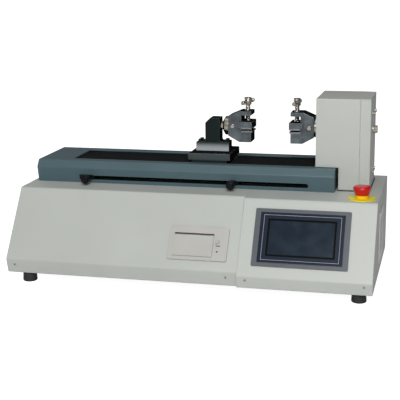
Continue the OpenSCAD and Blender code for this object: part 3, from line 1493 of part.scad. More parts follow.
cabinet_shell();
console_housing();
base_plate();
rubber_feet();
rear_panel();
side_vent_plate();
power_inlet();
switch_rocker();
display_bezel();
display_glass();
printer_frame();
printer_door();
feed_button();
paper_roll();
stop_disc();
stop_collar();
stop_stem();
stop_head();
rail_housing();
rail_bed();
guide_rails();
screw_supports();
ball_screw();
screw_pulley();
drive_belt();
motor_pulley();
drive_motor();
carriage_plate();
guide_blocks();
ball_nut();
grip_bracket();
bellows_left();
bellows_right();
left_stud_drilled();  // left_stud
left_collar();
at_left_grip() grip_body();  // left_grip_body
at_left_grip() grip_lower_pad();  // left_lower_pad
at_left_grip() grip_jaw();  // left_jaw
at_left_grip() grip_upper_pad();  // left_upper_pad
at_left_grip() grip_screw(left_bar_turn);  // left_grip_screw
at_left_grip() tommy_bar(left_bar_turn);  // left_tommy_bar
at_left_grip() grip_pin();  // left_grip_pin
load_shaft();
at_right_grip() grip_body();  // right_grip_body
at_right_grip() grip_lower_pad();  // right_lower_pad
at_right_grip() grip_jaw();  // right_jaw
at_right_grip() grip_upper_pad();  // right_upper_pad
at_right_grip() grip_screw(-right_bar_turn);  // right_grip_screw
at_right_grip() tommy_bar(-right_bar_turn);  // right_tommy_bar
at_right_grip() grip_pin();  // right_grip_pin
column_cover();
column_side_cover();
load_cell();
load_cell_frame();
left_stop();
right_stop();
left_stop_knob();
right_stop_knob();
electronics();
case_screws();
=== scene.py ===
import json
import math

import bpy
from mathutils import Matrix, Vector

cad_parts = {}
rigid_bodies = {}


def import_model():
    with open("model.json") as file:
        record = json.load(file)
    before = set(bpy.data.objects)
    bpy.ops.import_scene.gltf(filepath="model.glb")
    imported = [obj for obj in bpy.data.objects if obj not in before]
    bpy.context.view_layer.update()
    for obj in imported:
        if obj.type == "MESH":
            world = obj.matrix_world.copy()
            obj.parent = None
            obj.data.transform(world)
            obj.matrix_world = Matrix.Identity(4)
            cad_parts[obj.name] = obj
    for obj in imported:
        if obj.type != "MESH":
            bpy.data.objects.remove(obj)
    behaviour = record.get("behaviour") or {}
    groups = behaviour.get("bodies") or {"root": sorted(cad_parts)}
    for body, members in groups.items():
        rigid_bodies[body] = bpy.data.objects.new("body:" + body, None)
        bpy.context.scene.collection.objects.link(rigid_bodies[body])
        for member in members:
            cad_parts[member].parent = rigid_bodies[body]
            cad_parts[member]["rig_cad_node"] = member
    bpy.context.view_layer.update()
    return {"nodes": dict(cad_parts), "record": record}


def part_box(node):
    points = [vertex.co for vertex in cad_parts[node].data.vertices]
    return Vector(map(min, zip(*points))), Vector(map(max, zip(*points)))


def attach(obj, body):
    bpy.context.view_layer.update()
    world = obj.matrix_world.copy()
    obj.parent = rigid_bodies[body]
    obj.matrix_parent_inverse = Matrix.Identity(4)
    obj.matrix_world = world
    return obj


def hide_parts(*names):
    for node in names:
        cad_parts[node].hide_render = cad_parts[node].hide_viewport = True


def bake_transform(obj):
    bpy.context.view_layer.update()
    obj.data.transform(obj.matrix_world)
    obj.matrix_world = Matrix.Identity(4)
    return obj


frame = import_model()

bl_info = {
    "name": "Horizontal Tensile Tester",
    "version": (1, 0, 0),
    "blender": (4, 5, 0),
    "location": "View3D > Sidebar > Tensile Tester",
    "description": "Finishes a bench horizontal tensile testing machine round its construction model",
    "category": "Object",
}

# Looks by their names, and each construction node's slot
FINISHES = {}
SLOTS = {part["node"]: part["material_slot"] for part in frame["record"]["subparts"]}

# Sockets and ranges of the shader nodes
VECTOR = "NodeSocketVector"
VALUE = "NodeSocketFloat"
NOISE_MIDDLE = (0.3, 0.7)
WEAR_AND_HIGHLIGHT_RANGE = (0.02, 0.12)
WEAR_AND_HIGHLIGHT_SCALE = 260.0
WEAR_AND_HIGHLIGHT_DETAIL = 5.0
BEVEL_SAMPLES = 6
SIDE_SHADE_RANGE = (0.80, 0.95)
ALONG_X = (60.0, 2600.0, 2600.0)
ALONG_Y = (2600.0, 60.0, 2600.0)
ALONG_Z = (2600.0, 2600.0, 60.0)

# Tolerances, angles in degrees and counts of the modelling steps
MERGE = 0.00001
CUT_MERGE = 0.00002
SMOOTH_ANGLE = 35.0
PLEAT_ANGLE = 25.0
BEVEL_ANGLE = 30.0
SHARP_ANGLE = 50.0
BEVEL_SEGMENTS = 2
RING_INSET = 0.001
SLOT_SIDES = 32
DISC_SIDES = 24
DISC_ROUND = 0.25
SHEET_ROWS = 6

# The thread's flanks, crest and start in shares of its pitch; its turns to spare and its steps in a turn
THREAD_FLANK = 0.4
THREAD_CREST = 0.2
THREAD_START = 1.5
THREAD_SPARE = 3
THREAD_STEPS = 24

# A cap screw's socket and rounding in shares of its height and radius
SOCKET_CUTS = 3
SOCKET_DEPTH = 0.6
SOCKET_REACH = 1.05
CAP_ROUND = 0.10

# Limits on a normal's parts, by which a panel's front is told from its other faces
LEVEL = 0.01
SLOPING = 0.2
UPRIGHT = 0.9
LEANING = 0.05

# The slot in the rail's front and the height of the black trim that paints shade round it, and the display's
# layers above and below its frame's face
SLOT_X = (-0.306, 0.259)
SLOT_Z = 0.223
SLOT_SHADE_TRIM_HEIGHT = 0.00012
LINE_RISE = 1.5
GASKET_SINK = 3
GASKET_RISE = 1.4

# The studio: lights by place, size and power, the floor, the world's greys and the photograph's camera
LIGHT_AIM = (0.0, 0.0, 0.2)
LIGHTS = {
    "key_light": ((0.75, -3.1, 2.20), 1.3, 86.0),
    "fill_light": ((1.9, -2.6, 1.0), 1.6, 2.0),
    "top_light": ((0.2, -0.2, 2.8), 1.6, 7.0),
    "back_light": ((-2.8, 2.4, 0.8), 1.6, 32.0),
}
FLOOR_SIZE = 80.0
FLOOR_GLOW = (0.22, 1.60)
SKY_FRONT = (0.34, 0.34, 0.34)
SKY_BACK = (0.12, 0.12, 0.12)
SKY_RIGHT = (0.04, 0.04, 0.04)
SKY_BELOW = (0.6, 0.6, 0.6)
CAMERA_LENS = 91.08
CAMERA_SENSOR = 36.0
CAMERA_REACH = 50.0
CAMERA_AIM = (-0.00582, 0.0, 0.17333)
CAMERA_DISTANCE = 2.45777
CAMERA_AZIMUTH = 14.14
CAMERA_ELEVATION = 13.09
CAMERA_ROLL = -0.7


def length(name, text, value):
    return bpy.props.FloatProperty(name=name, description=text, default=value, min=0.0, unit="LENGTH",
                                   precision=4)


def offset(name, text, value):
    return bpy.props.FloatProperty(name=name, description=text, default=value, unit="LENGTH", precision=4)


def share(name, text, value):
    return bpy.props.FloatProperty(name=name, description=text, default=value, min=0.0, max=1.0,
                                   subtype="FACTOR")


def tint(name, text, value):
    return bpy.props.FloatVectorProperty(name=name, description=text, default=value, size=3, min=0.0, max=1.0,
                                         subtype="COLOR")


class TesterSizes(bpy.types.PropertyGroup):
    """Sizes of the pieces that are modelled round the construction model"""

    pleat_pitch: length("Pleat pitch", "Distance between two folds of the bellows", 0.0065)
    pleat_depth: length("Pleat depth", "Depth of the folds of the bellows", 0.008)
    fabric: length("Fabric", "Thickness of the bellows' fabric", 0.0006)
    side_gap: length("Side gap", "Distance of the folds from the sides of the bellows' space", 0.001)
    upper_gap: length("Upper gap", "Distance of the folds from the top of the bellows' space", 0.0012)
    lower_gap: length("Lower gap", "Distance of the fabric from the floor of the bellows' space", 0.0005)
    clamp_strip: length("Clamp strip", "Width of the strips that hold the bellows' ends", 0.007)
    strip_clear: share("Strip clear", "Share of a strip's width that stays clear of the fabric", 0.6)
    strip_top: length("Strip top", "Distance of a strip from the top of the bellows' space", 0.0005)
    strip_bottom: length("Strip bottom", "Distance of a strip's underside from that top", 0.004)
    strip_round: length("Strip rounding", "Rounding of the strips' edges", 0.0005)
    thread_pitch: length("Thread pitch", "Pitch of the thread on the grip screws", 0.00175)
    thread_depth: length("Thread depth", "Depth of the thread on the grip screws", 0.0009)
    screw_radius: length("Screw radius", "Outer radius of the thread on the grip screws", 0.006)
    head_height: length("Screw head", "Height of the head of a grip screw", 0.0175)
    tip_height: length("Screw tip", "Height of the plain tip of a grip screw in its jaw", 0.0067)
    lap: length("Lap", "Length by which the thread runs into the head and the tip", 0.0002)
    cap_radius: length("Cap radius", "Radius of the heads of the cap screws on the carriage", 0.0048)
    cap_height: length("Cap height", "Height of the heads of the cap screws on the carriage", 0.0048)
    socket_radius: length("Socket radius", "Radius of the hexagon sockets in the cap screws", 0.0026)
    cap_inset: length("Cap inset", "Distance of the cap screws from the edges", 0.0085)
    foot_height: length("Foot height", "Height of the bracket's foot", 0.023)
    # The slot's black trim and sleeve are painted shade on its rim and on its inside walls
    slot_shade_trim_width: length("Slot trim", "Width of the black trim round the slot", 0.0013)
    shade_sleeve: length("Slot sleeve", "Thickness of the black sleeve in the slot", 0.00012)
    rail_wall: length("Rail wall", "Thickness of the rail housing's sheet", 0.003)
    slot_half: length("Slot half height", "Half the height of the slot in the rail's front", 0.004)
    layer: length("Layer", "Height of the layers on the display's frame", 0.0003)
    mask_inset: length("Mask inset", "Distance of the dark border from the frame's sides", 0.0126)
    line_inset: length("Line inset", "Distance of the pale line from the frame's sides", 0.0204)
    line_width: length("Line width", "Width of the pale line", 0.0012)
    upright: share("Upright share", "Insets above and below the screen against those at its sides", 0.72)
    gasket_width: length("Gasket width", "Width of the black border round the screen", 0.0036)
    led_radius: length("Lamp radius", "Radius of the printer's lamp", 0.0019)
    led_height: length("Lamp height", "Height of the printer's lamp", 0.0008)
    led_x: offset("Lamp X", "Place of the lamp to the right of the middle", 0.0464)
    led_y: offset("Lamp Y", "Place of the lamp up the slope from the middle", -0.0190)
    slit_left: offset("Slit left", "Left end of the printer's slit, from the lamp", -0.0045)
    slit_right: offset("Slit right", "Right end of the printer's slit, from the lamp", 0.0052)
    slit_low: offset("Slit low", "Lower edge of the printer's slit, from the lamp", 0.0132)
    slit_high: offset("Slit high", "Upper edge of the printer's slit, from the lamp", 0.0152)


class TesterColours(bpy.types.PropertyGroup):
    """Colours of the finishes"""

    cabinet: tint("Cabinet paint", "Paint of the cabinet, the console and the column", (0.53, 0.553, 0.520))
    rail: tint("Rail paint", "Paint of the rail housing", (0.080, 0.138, 0.158))
    black: tint("Black", "Blackened metal of the travel stops and the cap screws", (0.004, 0.004, 0.005))
    knob: tint("Knobs", "Glossy black of the travel stops' knobs", (0.002, 0.002, 0.003))
    # Round the slot this black is painted shade; round the screen it is the gasket's own colour
    slot: tint("Slot", "Dull black round the slot and the screen", (0.002, 0.002, 0.002))
    bracket: tint("Bracket", "Dark coated steel of the grip bracket", (0.018, 0.027, 0.027))
    grip: tint("Grip steel", "Dark chromed steel of the grips", (0.200, 0.235, 0.255))
    machined: tint("Machined steel", "Bare machined steel", (0.42, 0.44, 0.46))
    bright: tint("Bright steel", "Plated screws, bars and pins", (0.56, 0.52, 0.45))
    plate: tint("Plate aluminium", "Brushed metal of the carriage plate", (0.095, 0.118, 0.120))
    vent: tint("Vent plate", "Brushed metal of the vent plate at the side", (0.80, 0.81, 0.79))
    # A painted shade: the colour of the steel pieces' side faces, darker than their fronts
    painted_side_shade: tint("Flanks", "Blackened sides of the ground steel pieces", (0.010, 0.011, 0.012))
    # The edges' colour on the metals: bare steel worn at the edges, and a painted edge highlight as well
    wear_and_edge_highlight: tint("Worn steel", "Bare steel on worn edges", (0.75, 0.76, 0.78))
    fabric: tint("Bellows fabric", "Coated fabric of the bellows", (0.010, 0.011, 0.012))
    rubber: tint("Foot rubber", "Rubber of the feet and the belt", (0.022, 0.024, 0.026))
    bezel: tint("Display frame", "Moulded frame of the display", (0.110, 0.122, 0.138))
    mask: tint("Display mask", "Printed border round the screen", (0.013, 0.020, 0.036))
    line: tint("Display line", "Thin pale line printed on the border", (0.28, 0.33, 0.42))
    screen: tint("Screen", "Dark screen of the display", (0.011, 0.025, 0.044))
    printer: tint("Printer plastic", "Moulded plastic of the printer", (0.51, 0.505, 0.475))
    lamp: tint("Lamp", "Unlit lamp of the printer", (0.012, 0.012, 0.012))
    plastic: tint("Black plastic", "Black plastic of the inlet and the switch", (0.016, 0.016, 0.017))
    paper: tint("Paper", "Thermal paper of the printer", (0.80, 0.80, 0.77))
    yellow: tint("Yellow disc", "Yellow disc under the stop button", (0.88, 0.76, 0.01))
    orange: tint("Orange collar", "Orange collar of the stop button", (1.0, 0.60, 0.005))
    red: tint("Red mushroom", "Red head of the stop button", (0.58, 0.003, 0.001))
    board: tint("Board", "Green circuit board under the console", (0.02, 0.12, 0.05))
    floor: tint("Floor", "Pale floor of the studio", (0.60, 0.60, 0.60))


# Shader nodes. The shared groups put out only masks, values and normals.


def feed(tree, value, socket):
    """Links a node's output to an input, or sets the input's own value"""
    if isinstance(value, bpy.types.NodeSocket):
        tree.links.new(value, socket)
    else:
        socket.default_value = value


def add_node(tree, kind, inputs, **settings):
    """A new node with its settings, and with its inputs linked or set"""
    node = tree.nodes.new("ShaderNode" + kind)
    for name, value in settings.items():
        setattr(node, name, value)
    for name, value in inputs.items():
        feed(tree, value, node.inputs[name])
    return node


def remap(tree, value, limits, start=0.0, end=1.0, curve="LINEAR"):
    """A value carried from between two limits to between start and end, and held there"""
    low, high = limits
    inputs = {"Value": value, "From Min": low, "From Max": high, "To Min": start, "To Max": end}
    return add_node(tree, "MapRange", inputs, interpolation_type=curve).outputs["Result"]


def mixed(tree, factor, first, second):
    """A mix of two colours, each of them a value or a socket"""
    inputs = {"Factor": factor}
    for slot, colour in (("A", first), ("B", second)):
        inputs[slot] = colour if isinstance(colour, bpy.types.NodeSocket) else (*colour, 1.0)
    return add_node(tree, "Mix", inputs, data_type="RGBA").outputs["Result"]


def scaled(colour, factor):
    return [channel * factor for channel in colour]


def new_group(name, inputs, outputs):
    group = bpy.data.node_groups.new(name, "ShaderNodeTree")
    for direction, sockets in (("INPUT", inputs), ("OUTPUT", outputs)):
        for label, kind in sockets.items():
            group.interface.new_socket(name=label, in_out=direction, socket_type=kind)
    return group, group.nodes.new("NodeGroupInput"), group.nodes.new("NodeGroupOutput")


def grain_group():
    """Fine grain and broad unevenness of a surface, both from 0 to 1"""
    group, given, made = new_group("surface_grain", {"Vector": VECTOR, "Grain": VALUE, "Patch": VALUE},
                                   {"Grain": VALUE, "Patch": VALUE})
    for size, detail in (("Grain", 3.0), ("Patch", 4.0)):
        noise = add_node(group, "TexNoise", {"Vector": given.outputs["Vector"], "Scale": given.outputs[size],
                                             "Detail": detail})
        feed(group, noise.outputs["Fac"], made.inputs[size])
    return group


def edge_group():
    """Mask of the outer edges, broken up by noise, and the normal that rounds them"""
    group, given, made = new_group("edge_wear_and_highlight_mask", {"Vector": VECTOR, "Radius": VALUE},
                                   {"Mask": VALUE, "Normal": VECTOR})
    bevel = add_node(group, "Bevel", {"Radius": given.outputs["Radius"]}, samples=BEVEL_SAMPLES)
    geometry = add_node(group, "NewGeometry", {})
    dot = add_node(group, "VectorMath", {0: bevel.outputs["Normal"], 1: geometry.outputs["Normal"]},
                   operation="DOT_PRODUCT")
    noise = add_node(group, "TexNoise", {"Vector": given.outputs["Vector"], "Scale": WEAR_AND_HIGHLIGHT_SCALE,
                                         "Detail": WEAR_AND_HIGHLIGHT_DETAIL})
    turned = add_node(group, "Math", {0: 1.0, 1: dot.outputs["Value"]}, operation="SUBTRACT")
    broken = add_node(group, "Math", {0: turned.outputs["Value"], 1: noise.outputs["Fac"]},
                      operation="MULTIPLY")
    feed(group, remap(group, broken.outputs["Value"], WEAR_AND_HIGHLIGHT_RANGE), made.inputs["Mask"])
    feed(group, bevel.outputs["Normal"], made.inputs["Normal"])
    return group


def brushed_group():
    """Fine lines along one direction, as a milled or brushed metal shows"""
    group, given, made = new_group("brushed_lines", {"Vector": VECTOR, "Stretch": VECTOR}, {"Lines": VALUE})
    stretched = add_node(group, "VectorMath", {0: given.outputs["Vector"], 1: given.outputs["Stretch"]},
                         operation="MULTIPLY")
    noise = add_node(group, "TexNoise", {"Vector": stretched.outputs["Vector"], "Scale": 1.0, "Detail": 3.0})
    feed(group, noise.outputs["Fac"], made.inputs["Lines"])
    return group


GROUPS = {"grain": grain_group(), "edge": edge_group(), "brushed": brushed_group()}


def material(name, colour, metallic=0.0, roughness=0.45, spread=0.12, shade=0.12, grain=900.0, depth=0.00002,
             patch=14.0, wear_and_edge_highlight=None, edge=0.0006, brushed=None, coat=0.0, gloss=0.5, glow=None, fade=None,
             painted_side_shade=None):
    """A finish in the object's own coordinates, from its colour and from these:

    shade darkens its patches, spread varies its roughness, depth is the height of its grain or of its
    milling lines along brushed; wear_and_edge_highlight colours the edges lighter, for wear on them and as a
    painted highlight along them; fade is (low, high, the colour below them); painted_side_shade is a painted
    shade on the faces that look neither forward nor back; glow lights (other rays, the camera's)."""
    made = bpy.data.materials.new(name)
    made.use_nodes = True
    tree = made.node_tree
    surface = tree.nodes["Principled BSDF"].inputs
    coordinates = add_node(tree, "TexCoord", {})
    place = coordinates.outputs["Object"]

    def group(kind, **inputs):
        return add_node(tree, "Group", {"Vector": place, **inputs}, node_tree=GROUPS[kind]).outputs

    skin = group("grain", Grain=grain, Patch=patch)
    edges = group("edge", Radius=edge)
    height = group("brushed", Stretch=brushed)["Lines"] if brushed else skin["Grain"]
    base = mixed(tree, remap(tree, skin["Patch"], NOISE_MIDDLE), scaled(colour, 1.0 - shade), colour)
    if fade:
        low, high, below = fade
        split = add_node(tree, "SeparateXYZ", {"Vector": place})
        base = mixed(tree, remap(tree, split.outputs["Z"], (low, high), curve="SMOOTHSTEP"), below, base)
    # Painted shade: the faces that look neither forward nor back get a darker, less metallic colour
    if painted_side_shade:
        facing = add_node(tree, "SeparateXYZ", {"Vector": coordinates.outputs["Normal"]})
        turned = add_node(tree, "Math", {0: facing.outputs["Y"]}, operation="ABSOLUTE")
        ground = remap(tree, turned.outputs["Value"], SIDE_SHADE_RANGE)
        base = mixed(tree, ground, painted_side_shade, base)
        metallic = add_node(tree, "Math", {0: ground, 1: metallic}, operation="MULTIPLY").outputs["Value"]
    # Lighter edges: wear on the metals' edges, and a painted highlight along the edges
    if wear_and_edge_highlight:
        base = mixed(tree, edges["Mask"], base, wear_and_edge_highlight)
    uneven = height if brushed else skin["Patch"]
    bump = add_node(tree, "Bump", {"Strength": 1.0, "Distance": depth, "Height": height,
                                   "Normal": edges["Normal"]})
    if glow:
        path = add_node(tree, "LightPath", {})
        feed(tree, (*colour, 1.0), surface["Emission Color"])
        feed(tree, remap(tree, path.outputs["Is Camera Ray"], (0.0, 1.0), *glow), surface["Emission Strength"])
    for socket, value in (
            ("Base Color", base), ("Metallic", metallic), ("Coat Weight", coat), ("Specular IOR Level", gloss),
            ("Roughness", remap(tree, uneven, NOISE_MIDDLE, roughness - spread / 2, roughness + spread / 2)),
            ("Normal", bump.outputs["Normal"])):
        feed(tree, value, surface[socket])
    return made


def finishes(c):
    """Every finish of the machine by its name; most of these names are slots' names"""
    # The paints' edges are lighter: a painted highlight along the sheet's bends, not wear
    painted_bend_highlight = scaled(c.cabinet, 1.28)
    looks = {
        "cabinet_paint": dict(colour=c.cabinet, roughness=0.42, shade=0.05, depth=0.000035, grain=1400.0,
                              patch=5.0, edge=0.0035, wear_and_edge_highlight=painted_bend_highlight),
        "column_paint": dict(colour=c.cabinet, roughness=0.40, shade=0.05, depth=0.000035, grain=1400.0,
                             patch=6.0, edge=0.0035, wear_and_edge_highlight=painted_bend_highlight),
        # The rail's lighter edges are a painted highlight
        "rail_paint": dict(colour=c.rail, roughness=0.36, shade=0.10, depth=0.00003, grain=1500.0, patch=8.0,
                           wear_and_edge_highlight=(0.22, 0.30, 0.32), edge=0.0016),
        "black_metal": dict(colour=c.black, roughness=0.30, spread=0.10, wear_and_edge_highlight=(0.03, 0.03, 0.03),
                            depth=0.00001, gloss=0.4),
        "knob_gloss": dict(colour=c.knob, roughness=0.24, spread=0.06, depth=0.00001, edge=0.0014, gloss=0.25),
        "slot_black": dict(colour=c.slot, roughness=0.70, depth=0.00001, gloss=0.1),
        # The faces of these steels and the plate that look neither forward nor back get painted_side_shade: a
        # painted shade
        "pad_steel": dict(colour=scaled(c.machined, 0.8), metallic=0.9, roughness=0.34, wear_and_edge_highlight=c.wear_and_edge_highlight,
                          brushed=ALONG_Z, depth=0.00003, gloss=0.0, painted_side_shade=c.painted_side_shade),
        "dark_metal": dict(colour=c.bracket, metallic=0.55, roughness=0.40, depth=0.00003,
                           wear_and_edge_highlight=(0.35, 0.38, 0.40), edge=0.0008, brushed=ALONG_Z),
        # Below the foot's top the bracket's colour turns pale: a painted reflection of the front light and the
        # plate
        "bracket_metal": dict(colour=c.bracket, metallic=0.3, roughness=0.40, depth=0.00003,
                              wear_and_edge_highlight=(0.42, 0.46, 0.47), edge=0.0008, brushed=ALONG_X,
                              fade=(0.2885, 0.3080, (0.55, 0.59, 0.61)), painted_side_shade=c.painted_side_shade, gloss=0.0),
        "screw_metal": dict(colour=c.bright, metallic=0.7, roughness=0.28, patch=60.0,
                            fade=(0.12, 0.20, scaled(c.cabinet, 0.8))),
        "grip_steel": dict(colour=c.grip, metallic=0.8, roughness=0.32, wear_and_edge_highlight=c.wear_and_edge_highlight, edge=0.0009,
                           brushed=ALONG_X, depth=0.00003, patch=45.0, shade=0.55, gloss=0.0, painted_side_shade=c.painted_side_shade),
        "machined_steel": dict(colour=c.machined, metallic=1.0, roughness=0.30, wear_and_edge_highlight=c.wear_and_edge_highlight,
                               brushed=ALONG_Y, depth=0.00002, painted_side_shade=(0.06, 0.065, 0.07)),
        "bright_steel": dict(colour=c.bright, metallic=1.0, roughness=0.22, wear_and_edge_highlight=c.wear_and_edge_highlight, patch=60.0),
        "plate_aluminium": dict(colour=c.plate, metallic=0.85, roughness=0.34, wear_and_edge_highlight=c.wear_and_edge_highlight, edge=0.0009,
                                brushed=ALONG_X, depth=0.00003, painted_side_shade=c.painted_side_shade, gloss=0.0),
        "vent_metal": dict(colour=c.vent, metallic=0.5, roughness=0.34, depth=0.00003, brushed=ALONG_Z),
        "foot_rubber": dict(colour=c.rubber, roughness=0.60, grain=1200.0, depth=0.00006),
        # The bellows' lighter edges are a painted highlight on the pleat ridges
        "bellows_rubber": dict(colour=c.fabric, roughness=0.50, grain=2200.0, depth=0.00005, patch=90.0,
                               shade=0.3, wear_and_edge_highlight=(0.10, 0.105, 0.11), edge=0.0006),
        "belt_rubber": dict(colour=c.rubber, roughness=0.70, grain=1600.0, depth=0.00008),
        "bezel_plastic": dict(colour=c.bezel, roughness=0.38, grain=1800.0, depth=0.00003,
                              wear_and_edge_highlight=(0.22, 0.26, 0.30), edge=0.0006, gloss=0.3),
        "display_line": dict(colour=c.line, roughness=0.35, depth=0.00001),
        "display_mask": dict(colour=c.mask, roughness=0.35, spread=0.06, depth=0.00001, gloss=0.12),
        "display_glass": dict(colour=c.screen, roughness=0.14, spread=0.06, depth=0.000004, patch=30.0,
                              shade=0.45, gloss=0.4),
        "printer_plastic": dict(colour=c.printer, roughness=0.48, grain=1500.0, depth=0.00004, patch=20.0,
                                shade=0.05),
        "button_plastic": dict(colour=scaled(c.printer, 0.92), roughness=0.45),
        "black_plastic": dict(colour=c.plastic, roughness=0.42, wear_and_edge_highlight=(0.06, 0.06, 0.06)),
        "lamp": dict(colour=c.lamp, roughness=0.20, coat=0.5),
        "paper": dict(colour=c.paper, roughness=0.75, grain=2500.0, depth=0.00003),
        "yellow_plate": dict(colour=c.yellow, roughness=0.40, shade=0.08),
        "orange_plastic": dict(colour=c.orange, roughness=0.35, shade=0.10),
        "red_plastic": dict(colour=c.red, roughness=0.30, shade=0.10, coat=0.1),
        "stem_plastic": dict(colour=scaled(c.orange, 0.5), roughness=0.45),
        "board_green": dict(colour=c.board, roughness=0.45, patch=60.0, shade=0.3),
        "floor": dict(colour=c.floor, roughness=0.80, shade=0.01, grain=300.0, depth=0.0, glow=FLOOR_GLOW),
    }
    return {name: material(name, **look) for name, look in looks.items()}


def dress(*names, look=None):
    """Gives construction nodes the finish of their slot, or a look of their own"""
    for name in names:
        materials = frame["nodes"][name].data.materials
        materials.clear()
        materials.append(FINISHES[look or SLOTS[name]])


# Modelling helpers. Each leaves its piece in object mode.


def rest_selection():
    """Leaves edit mode, with nothing selected"""
    if bpy.context.object and bpy.context.object.mode != "OBJECT":
        bpy.ops.object.mode_set(mode="OBJECT")
    bpy.ops.object.select_all(action="DESELECT")


def take(piece):
    """Makes one object the only selected one and the active one"""
    rest_selection()
    piece.select_set(True)
    bpy.context.view_layer.objects.active = piece


def apply_transform(piece, location=False, rotation=False, scale=False):
    take(piece)
    bpy.ops.object.transform_apply(location=location, rotation=rotation, scale=scale)


def edit(piece):
    """Opens one object in edit mode with all of its mesh selected"""
    take(piece)
    bpy.ops.object.mode_set(mode="EDIT")
    bpy.ops.mesh.select_all(action="SELECT")


def pick(kind, test):
    """In edit mode, selects the active object's elements of one kind for which test is true"""
    mesh = bpy.context.object.data
    bpy.ops.mesh.select_mode(type=kind)
    bpy.ops.mesh.select_all(action="DESELECT")
    bpy.ops.object.mode_set(mode="OBJECT")
    elements = {"VERT": mesh.vertices, "EDGE": mesh.edges, "FACE": mesh.polygons}[kind]
    for element in elements:
        element.select = bool(test(element))
    bpy.ops.object.mode_set(mode="EDIT")


def selected_vertices():
    """The vertices that are selected in the edited mesh, as it is now"""
    piece = bpy.context.object
    piece.update_from_editmode()
    return [v for v in piece.data.vertices if v.select]


def push(operator, x=0.0, y=0.0, z=0.0):
    """In edit mode, runs one of the mesh's extrude operators and moves what it makes"""
    operator(TRANSFORM_OT_translate={"value": (x, y, z)})


def cut(height, above):
    """In edit mode, keeps what lies above or below a height, closed where it is cut"""
    bpy.ops.mesh.select_all(action="SELECT")
    bpy.ops.mesh.bisect(plane_co=(0, 0, height), plane_no=(0, 0, 1), use_fill=True, clear_inner=above,
                        clear_outer=not above)


def apply_modifier(piece, kind, **settings):
    take(piece)
    bpy.ops.object.modifier_add(type=kind)
    modifier = piece.modifiers[-1]
    for name, value in settings.items():
        setattr(modifier, name, value)
    bpy.ops.object.modifier_apply(modifier=modifier.name)


def soften(piece, width, angle=BEVEL_ANGLE):
    """Rounds the edges that are sharper than an angle"""
    apply_modifier(piece, "BEVEL", width=width, segments=BEVEL_SEGMENTS, limit_method="ANGLE",
                   angle_limit=math.radians(angle), harden_normals=False)


def settle(piece, name, slot, body, angle=SMOOTH_ANGLE):
    """Merges, turns the faces outward, shades, names, paints and mounts a finished piece"""
    apply_transform(piece, location=True, rotation=True, scale=True)
    edit(piece)
    bpy.ops.mesh.remove_doubles(threshold=MERGE)
    bpy.ops.mesh.normals_make_consistent(inside=False)
    take(piece)
    bpy.ops.object.shade_smooth_by_angle(angle=math.radians(angle))
    rest_selection()
    piece.name = name
    piece.data.name = name
    piece.data.materials.clear()
    piece.data.materials.append(FINISHES[slot])
    if body:
        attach(piece, body)
    return piece


def twin(piece, name, matrix, body):
    """A copy of a finished piece with a mesh of its own, moved by a matrix"""
    copy = piece.copy()
    copy.data = piece.data.copy()
    copy.name = name
    copy.data.name = name
    bpy.context.scene.collection.objects.link(copy)
    copy.data.transform(matrix)
    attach(copy, body)
    return copy


def axes_at(x, y, z, origin):
    """The matrix of a frame from its three axes and its origin"""
    made = Matrix((x, y, z)).transposed().to_4x4()
    made.translation = origin
    return made


def largest(node, test):
    """The largest of a construction node's faces for whose normal test is true"""
    return max((f for f in frame["nodes"][node].data.polygons if test(f.normal)), key=lambda f: f.area)


def face_frame(node):
    """Frame on a sloping panel's front, from its middle: X to the right, Y up the slope, Z out; and its
    half sizes"""
    front = largest(node, lambda n: abs(n.x) < LEVEL and n.y < -SLOPING and n.z > SLOPING)
    axes = (Vector((1, 0, 0)), front.normal.cross(Vector((1, 0, 0))), front.normal.copy())
    spans = [[axis.dot(v.co) for v in frame["nodes"][node].data.vertices] for axis in axes]
    middle = [(min(span) + max(span)) / 2 for span in spans[:2]] + [max(spans[2])]
    origin = sum((axis * value for axis, value in zip(axes, middle)), Vector())
    return axes_at(*axes, origin), [(max(span) - min(span)) / 2 for span in spans[:2]]


def slot_frame():
    """Frame on the rail's front at the slot: X along it, Y up the face, Z out of it"""
    front = largest("rail_housing", lambda n: n.y < -UPRIGHT and n.z < -LEANING)
    up = front.normal.cross(Vector((1, 0, 0)))
    level = (SLOT_Z - front.center.z) / up.z
    origin = Vector((0, front.center.y, front.center.z)) + up * level
    return axes_at(Vector((1, 0, 0)), up, front.normal.copy(), origin)


def ring(outer, inner, low, high, place):
    """A flat rectangular ring between two half sizes, from height low to high, laid on a panel"""
    rest_selection()
    bpy.ops.mesh.primitive_plane_add(size=2.0)
    piece = bpy.context.object
    piece.scale = (*outer, 1.0)
    apply_transform(piece, scale=True)
    edit(piece)
    bpy.ops.mesh.inset(thickness=RING_INSET)
    bpy.ops.transform.resize(value=[b / (a - RING_INSET) for a, b in zip(outer, inner)] + [1.0])
    bpy.ops.mesh.delete(type="FACE")
    bpy.ops.mesh.select_all(action="SELECT")
    push(bpy.ops.mesh.extrude_region_move, z=high - low)
    rest_selection()
    piece.matrix_world = place @ Matrix.Translation((0, 0, low))
    return piece


def slot_ring(centres, half, width, height, place):
    """A flat ring with round ends round a slot"""
    rest_selection()
    bpy.ops.mesh.primitive_circle_add(vertices=SLOT_SIDES, radius=half + width, fill_type="NGON",
                                      rotation=(0, 0, math.pi / SLOT_SIDES))
    piece = bpy.context.object
    apply_transform(piece, rotation=True)
    edit(piece)
    for side, x in zip((-1, 1), centres):
        pick("VERT", lambda v: abs(v.co.x) < half * 2 and v.co.x * side > 0)
        bpy.ops.transform.translate(value=(x, 0, 0))
    bpy.ops.mesh.select_all(action="SELECT")
    bpy.ops.mesh.inset(thickness=width)
    bpy.ops.mesh.delete(type="FACE")
    bpy.ops.mesh.select_all(action="SELECT")
    push(bpy.ops.mesh.extrude_region_move, z=height)
    rest_selection()
    piece.matrix_world = place
    return piece


